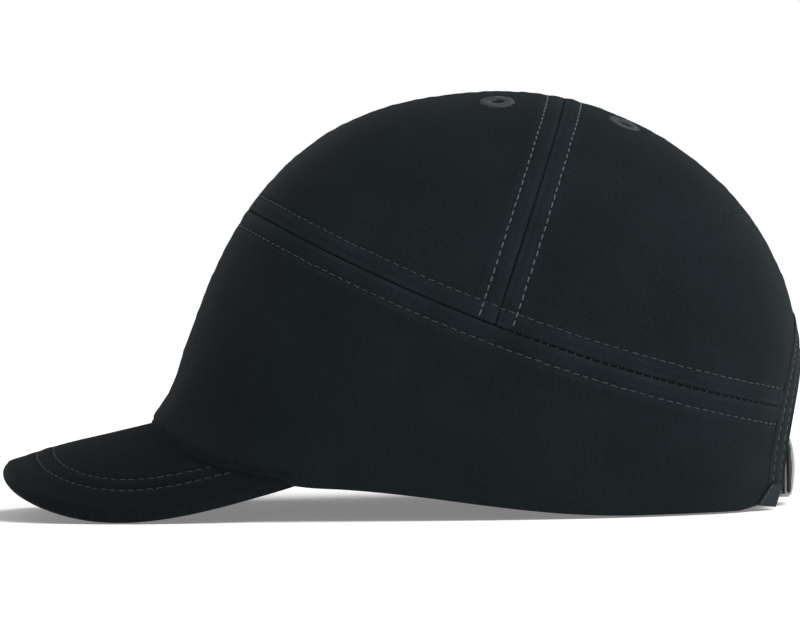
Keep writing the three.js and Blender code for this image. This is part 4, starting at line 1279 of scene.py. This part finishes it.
def build_inner_bands():
    band, paths, run = inner_band(
        "sweatband_cloth", SWEATBAND_LOW, SWEATBAND_HIGH, lambda y: 4.0 + 4.3 * smoothstep(-10, 45, y), 1.6,
        ARCH_RADIUS + 2, SWEATBAND_CLOTH, "sweatband_cloth", SWEATBAND_ROWS, 420, 0.35, ["sweatband"])
    stitch("sweatband_stitches", paths, slot="sweatband_cloth", seed=21, radius=0.22)
    tape, _, tape_run = inner_band(
        "hem_tape_cloth", 0.7, 8.0, lambda y: 1.6, 0.8, ARCH_RADIUS + BINDING_WIDTH + 0.6,
        TAPE_CLOTH, "tape", (), 300, 0.0, ["hem_tape"])


def build_shell():
    """The moulded ABS shell, with a rolled edge and ventilation slots cut right through."""
    columns = 220
    angles = (np.arange(columns) + 0.5) / columns * 2 * PI

    def above_edge(t):
        p = crown(angles, t)
        arch = arch_radius_at(p) - (ARCH_RADIUS + BINDING_WIDTH + 5)
        return np.minimum(p[..., 2] - shell_edge_height(p[..., 1]), np.where(p[..., 1] > WIDEST_Y, arch, 999))
    low = solve(above_edge, 0, 1, columns)
    share = np.concatenate([np.linspace(0, 0.06, 4), np.linspace(0.08, 1, 42)])
    rim = [(-0.004, 1.9), (-0.007, 2.6), (-0.004, 3.3)]
    section = np.concatenate([coords(share[::-1], SHELL_OUTER), rim, coords(share, SHELL_INNER)])
    f, depth = section.T[..., None]
    t = np.minimum(low + (1 - low) * f, 0.99999)
    base = crown(angles, t)
    n = unit(np.cross(crown(angles + 0.01, t) - crown(angles - 0.01, t), crown(angles, t - 0.003) - base))
    n *= np.sign(((base - CENTRE) * n).sum(-1, keepdims=True))
    n[f[:, 0] > 0.995] = (0, 0, 1)
    shell = sheet_piece("protective_shell_moulding", base - n * depth[..., None], SHELL_PLASTIC,
                        "shell_plastic", replaces=["protective_shell"], wrap_columns=True)
    weld(shell, 3e-6)
    cutter = vent_cutter()
    cut = shell.modifiers.new("vents", "BOOLEAN")
    cut.operation, cut.solver, cut.object = "DIFFERENCE", "EXACT", cutter
    settle(shell)
    bpy.data.objects.remove(cutter)
    shell.data.set_sharp_from_angle(angle=math.radians(40))


def vent_cutter():
    """Every ventilation slot's stadium prism, in one mesh."""
    turns = np.linspace(0, PI, 10)
    half = coords(VENT_HALF_WIDTH * np.cos(turns),
                  VENT_HALF_LENGTH - VENT_HALF_WIDTH + VENT_HALF_WIDTH * np.sin(turns))
    a, b = np.concatenate([half, -half]).T
    points = [coords(x + a, y + b, z) for x in (-TOP_VENT_X, TOP_VENT_X) for y in TOP_VENT_YS
              for z in (100, 200)]
    points += [coords(x, y + b, SIDE_VENT_Z + a) for y in SIDE_VENT_YS for x in (-200, 200)]
    faces = [f for i in range(0, len(points), 2) for f in prism_faces(len(a), i * len(a))]
    mesh = bpy.data.meshes.new("vents")
    mesh.from_pydata(to_row(np.concatenate(points)).tolist(), [], [f.tolist() for f in faces])
    face_out(mesh)
    return show("vents", mesh)


def foam_pad(node, corners, to_crown, mirror=False):
    """A cut foam pad under the shell: rounded corners and edges, and rows of pierced holes."""
    corners = np.array(corners, float)
    size = norm(corners[[1, 3]] - corners[0])
    a, b, p, q = square_grid(*(size / 0.95).astype(int), 7)
    weights = [(1 - p) * (1 - q), (1 + p) * (1 - q), (1 + p) * (1 + q), (1 - p) * (1 + q)]
    flat = sum(w[..., None] * c / 4 for w, c in zip(weights, corners))
    base, n = to_crown(flat[..., 0], flat[..., 1])
    from_edge = np.minimum((1 - np.abs(a)) * size[0], (1 - np.abs(b)) * size[1]) / 2
    hole = norm(flat - np.round(flat / PAD_PITCH) * PAD_PITCH)
    pierced = np.where(from_edge > 5, 1.1 * bell(hole, 0, 1.25), 0)
    crowned = 0.5 * smoothstep(0, 12, from_edge) + 0.1 * waves(base, 17, 20, 40)
    depth = PAD_INNER - (PAD_INNER - PAD_OUTER) * (1 - rounding(from_edge, PAD_ROUND))
    depth = np.where(from_edge > 1e-6, depth + crowned - pierced, PAD_OUTER)
    inner, outer = base - n * depth[..., None], base - n * PAD_OUTER
    pad = leaf_piece(f"{node}_foam", outer, inner, FOAM, "foam", flat, mirror=mirror, replaces=[node])


def build_pads():
    foam_pad("front_pad", [(-46, 50), (46, 50), (46, 92), (-46, 92)],
             lambda x, z: cast_along((0, -1, 0), x, WIDEST_Y, z))
    foam_pad("rear_pad", [(-46, 76), (46, 76), (46, 102), (-46, 102)], rear_face)
    foam_pad("crown_pad", [(-24, -44), (24, -44), (24, 62), (-24, 62)],
             lambda x, y: cast_along((0, 0, 1), x, y, 60))
    for mirror, side in SIDES:
        foam_pad(f"{side}_pad", [(-44, 42), (52, 42), (48, 84), (-36, 84)],
                 lambda y, z: cast_along((1, 0, 0), 0, y, z), mirror)


# ------------------------------------------------------------------ strap and buckle
def about_axis(points, turn=0.0):
    """From the strap's own frame, centred on its vertical axis, to the cap's."""
    x, y, z = np.moveaxis(np.asarray(points, float), -1, 0)
    c, s = math.cos(turn), math.sin(turn)
    return coords(x * c + y * s, y * c - x * s + STRAP_AXIS_Y, z)


def on_arc(radius, turns):
    """Plan points of a circle about the strap's axis, at turns from straight behind."""
    return coords(radius * np.sin(turns), radius * np.cos(turns))


def web_strip(node, path, thickness, body):
    """Woven webbing along a plan path: a flat section with soft selvedges and raised cords."""
    low, high = STRAP_BOTTOM, STRAP_TOP
    tangent = unit(np.gradient(path, axis=0))
    heights = np.arange(low + 0.5, high - 0.49, 0.3)
    cord = 0.07 * np.abs(np.sin(PI * (heights - low - 0.5) / WEB_RIB)) ** 0.6 - 0.03
    selvedge = 1 - 0.32 * (bell(heights, low + 0.3, 1.0) + bell(heights, high - 0.3, 1.0))
    front = coords(heights, 0.5 * selvedge, cord)
    top = [(high - 0.3, 0.26, 0), (high, 0.0, 0), (high - 0.3, -0.26, 0)]
    bottom = [(low + 0.3, -0.26, 0), (low, 0.0, 0), (low + 0.3, 0.26, 0)]
    section = np.concatenate([front, top, front[::-1] * (1, -1, -1), bottom])
    height, out, raised = section.T[..., None]
    s = lengths(path)
    away = out * thickness + raised + 0.02 * np.sign(out) * np.sin(2 * PI * s / 0.7 + height * 2.1)
    x, y = path[:, 0] + tangent[:, 1] * away, path[:, 1] - tangent[:, 0] * away
    swept_piece(f"{node}_webbing", about_axis(coords(x, y, height)), STRAP_WEBBING, "webbing",
                coords(s, height), body=body, replaces=[node])


def build_straps():
    path = on_arc(STRAP_RADIUS - STRAP_THICKNESS / 2, np.linspace(-STRAP_HALF_ANGLE, STRAP_HALF_ANGLE, 300))
    web_strip("closure_strap", path, STRAP_THICKNESS - 0.1, "strap")
    # The tab lies on the strap and wraps the buckle's bar.
    bar_turn = BUCKLE_ANGLE + math.atan2(BAR_X, BAR_Y)
    bar = on_arc(math.hypot(BAR_X, BAR_Y), bar_turn)
    radius = STRAP_RADIUS + 0.3 + 0.65
    end = math.asin(TAB_END_X / (STRAP_RADIUS + 1.6))
    lie = on_arc(radius, np.linspace(end, bar_turn + 0.022, 90))
    around = math.atan2(*(lie[-1] - bar)[::-1]) - np.linspace(0.25, 5.0, 26)
    wrap = bar + (PIN_RADIUS + 0.72) * coords(np.cos(around), np.sin(around))
    thickness = np.repeat([TAB_THICKNESS, 0.8], [len(lie), len(wrap)])
    web_strip("strap_tab", np.concatenate([lie, wrap]), thickness, "cap")
    rows = []
    heights = np.linspace(STRAP_BOTTOM + 1.2, STRAP_TOP - 1.2, 30)
    for turn in (bar_turn + 0.055, bar_turn + 0.085, end - 0.03):
        sine, cosine = math.sin(turn), math.cos(turn)
        path = coords((radius + 0.62) * sine, (radius + 0.62) * cosine, heights)
        rows.append((about_axis(path), coords(sine, cosine, 0 * heights)))
    stitch("strap_tab_stitches", rows, slot="webbing", seed=61, radius=0.22, pitch=2.3, length=1.8)


def metal(name, points, faces, material=SATIN_METAL, slot="satin_metal", **more):
    return make(name, about_axis(points, BUCKLE_ANGLE), faces, material, slot, **more)


def bevelled(name, shapes, body, replaces=(), bevel=0.18):
    """Plates joined into one solid with rounded edges. shapes are (outline, low z, high z)."""
    made = []
    for outline, low, high in shapes:
        points = [(x, y, z) for z in (low, high) for x, y in outline]
        part_name = f"{name}_part{len(made)}" if made else name
        made.append(metal(part_name, points, prism_faces(len(outline)), body=body,
                          replaces=() if made else replaces))
        face_out(made[-1].data)
    solid, *others = made
    for other in others:
        joined = solid.modifiers.new("join", "BOOLEAN")
        joined.operation, joined.solver, joined.object = "UNION", "EXACT", other
    rounded = solid.modifiers.new("edges", "BEVEL")
    rounded.width, rounded.segments, rounded.limit_method = bevel * MM, 3, "ANGLE"
    rounded.angle_limit = math.radians(25)
    settle(solid)
    for other in others:
        bpy.data.objects.remove(other)
    solid.data.polygons.foreach_set("use_smooth", [True] * len(solid.data.polygons))
    solid.data.set_sharp_from_angle(angle=math.radians(35))


def circle(x, y, radius, count=28):
    turns = 2 * PI * np.arange(count) / count
    return coords(x + radius * np.cos(turns), y + radius * np.sin(turns))


def turned_on_pin(name, profile, count=32, **more):
    """A piece turned about the buckle's pin from a profile of (radius, z)."""
    turns = np.linspace(0, 2 * PI, count, endpoint=False)
    r, z = np.array(profile).T[..., None]
    points = coords(PIN_X + r * np.cos(turns), PIN_Y + r * np.sin(turns), z)
    weld(metal(name, points, grid_faces(len(profile), count, wrap_columns=True), **more))


def build_buckle():
    back, low, high = PLATE_OUTER - PLATE_THICKNESS, BUCKLE_BOTTOM, BUCKLE_TOP
    left, right, front = PIN_X - 1.7, BAR_X + 1.6, BAR_Y + 1.2
    cheek = [(left + 0.6, back), (right, back), (right, front - 0.7), (right - 0.7, front),
             (BAR_X - 1.4, front), (LEVER_END_X, PIN_Y + 0.6), (left + 0.9, PIN_Y + 1.0),
             (left, PIN_Y + 0.2), (left, back + 0.6)]
    plate = [(left + 0.6, back), (right, back), (right, PLATE_OUTER), (left + 0.6, PLATE_OUTER)]
    shapes = [(plate, low, high), (cheek, low, low + CHEEK_THICKNESS), (cheek, high - CHEEK_THICKNESS, high),
              (circle(BAR_X, BAR_Y, PIN_RADIUS), low + 0.3, high - 0.3)]
    bevelled("buckle_frame_body", shapes, "cap", ["buckle_frame"])
    build_lever()
    ends = [(0.0, low - 0.4), (0.45, low - 0.38), (0.72, low - 0.25), (PIN_RADIUS, low - 0.05),
            (PIN_RADIUS, low + 1.2)]
    turned_on_pin("buckle_pin_steel", ends + [(r, low + high - z) for r, z in ends[::-1]],
                  material=PIN_STEEL, slot="pin_steel", replaces=["buckle_pin"])


def build_lever():
    """The clamp lever: a sheet-metal plate domed both ways, with its knuckle rolled round the pin."""
    start, end, low, high = PIN_X + 0.2, LEVER_END_X, STRAP_BOTTOM, STRAP_TOP
    width, height = end - start, BUCKLE_TOP - BUCKLE_BOTTOM
    a, b, p, q = square_grid(61, 71, 9)
    from_edge = np.minimum((1 - np.abs(a)) * width, (1 - np.abs(b)) * height) / 2
    rim = LEVER_HALF_SHEET * rounding(from_edge, LEVER_HALF_SHEET)
    y = LEVER_BACK_Y + 0.12 + 0.4 * (1 - p**2) + 1.2 * (1 - q**2)
    x, z = (start + end) / 2 + p * width / 2, (BUCKLE_BOTTOM + BUCKLE_TOP) / 2 + q * height / 2
    leaves = (about_axis(coords(x, side_y, z), BUCKLE_ANGLE)
              for side_y in (y + rim - 0.18 * bell(from_edge, 0.9, 0.35), y - rim))
    leaf_piece("buckle_lever_plate", *leaves, SATIN_METAL, "satin_metal", body="clamp_lever",
               replaces=["buckle_lever"])
    tube = [(1.0, low + 0.1), (1.25, low), (1.5, low + 0.1), (1.62, low + 0.35)]
    tube += [(r, low + high - z) for r, z in tube[::-1]] + [(0.98, high - 0.4), (0.98, low + 0.4)]
    turned_on_pin("buckle_lever_knuckle", tube + tube[:1], body="clamp_lever")
    arm = [(PIN_X + 0.4, PIN_Y + 1.1), (PIN_X + 2.6, PIN_Y + 0.6), (PIN_X + 4.2, LEVER_BACK_Y + 0.4),
           (PIN_X + 3.6, LEVER_BACK_Y + 1.2), (PIN_X + 1.0, LEVER_BACK_Y + 0.75)]
    bevelled("buckle_lever_web", [(arm, low + 0.3, high - 0.3)], "clamp_lever", bevel=0.15)


# ------------------------------------------------------------------ floor, light and camera, in metres
FLOOR_Z, FLOOR_RADII = -0.0004, (0.4, 1.2, 3.0, 9.0)
SUN_DIRECTION, SUN_ANGLE, SUN_ENERGY = (0.34, 0.57, 0.76), math.radians(40), 2.95
SKY_BAND = (0.095, 0.17, 1.0, 0.31)  # from white near the horizon to dimmer overhead
LENS, CAMERA_PLACE, CAMERA_TILT = 172.3, (1.3, 0.0004, 0.0675), math.radians(0.973)


def build_stage(count=64):
    points = [(0, 0)] + [tuple(p) for radius in FLOOR_RADII for p in circle(0, 0, radius, count)]
    faces = [(0, 1 + i, 1 + (i + 1) % count) for i in range(count)]
    faces += (1 + grid_faces(len(FLOOR_RADII), count, wrap_columns=True)[:, ::-1]).tolist()
    mesh = bpy.data.meshes.new("floor")
    mesh.from_pydata([(x, y, FLOOR_Z) for x, y in points], [], faces)
    look = Look("pale_floor")
    tone = look.span(look.noise(look.place, 0.002), 0.3, 0.7, 0.9, 0.93)
    colour = look.mix(tone, (0.88, 0.88, 0.88, 1), (0.97, 0.97, 0.97, 1))
    mesh.materials.append(look.done(colour, 0.9, Specular_IOR_Level=0.1, Emission_Color=(1, 1, 1, 1),
                                    Emission_Strength=0.2))
    floor = show("floor", mesh)


def build_lights():
    world = bpy.data.worlds.new("studio")
    world.use_nodes = True
    tree = world.node_tree
    sky = tree.nodes["Background"]
    sky.inputs[0].default_value = (1, 1, 1, 1)
    parts = tree.nodes.new("ShaderNodeSeparateXYZ")
    tree.links.new(tree.nodes.new("ShaderNodeTexCoord").outputs["Generated"], parts.inputs[0])
    band = tree.nodes.new("ShaderNodeMapRange")
    band.interpolation_type = "SMOOTHSTEP"
    for socket, value in zip(band.inputs[1:5], SKY_BAND):
        socket.default_value = value
    tree.links.new(parts.outputs[2], band.inputs[0])
    tree.links.new(band.outputs[0], sky.inputs[1])
    bpy.context.scene.world = world
    sun = bpy.data.lights.new("soft_key", "SUN")
    sun.angle, sun.energy = SUN_ANGLE, SUN_ENERGY
    show("soft_key", sun).rotation_euler = Vector(SUN_DIRECTION).to_track_quat("Z", "Y").to_euler()


def build_camera():
    """A long lens square to the wearer's left side, tilted a little."""
    data = bpy.data.cameras.new("camera")
    data.lens, data.sensor_width = LENS, 36.0
    data.clip_start, data.clip_end = 0.05, 50
    camera = show("camera", data)
    across = Vector((0, math.cos(CAMERA_TILT), -math.sin(CAMERA_TILT)))
    up = Vector((0, math.sin(CAMERA_TILT), math.cos(CAMERA_TILT)))
    turn = Matrix((across, up, Vector((1, 0, 0)))).transposed()
    camera.matrix_world = Matrix.Translation(CAMERA_PLACE) @ turn.to_4x4()
    bpy.context.scene.camera = camera
    bpy.context.scene.view_settings.view_transform = "Standard"


build_camera()
build_panels()
build_panel_stitches()
build_seam_tapes()
build_board()
build_peak()
build_binding()
build_eyelets()
build_label()
build_shell()
build_inner_bands()
build_pads()
build_straps()
build_buckle()
build_lights()
build_stage()
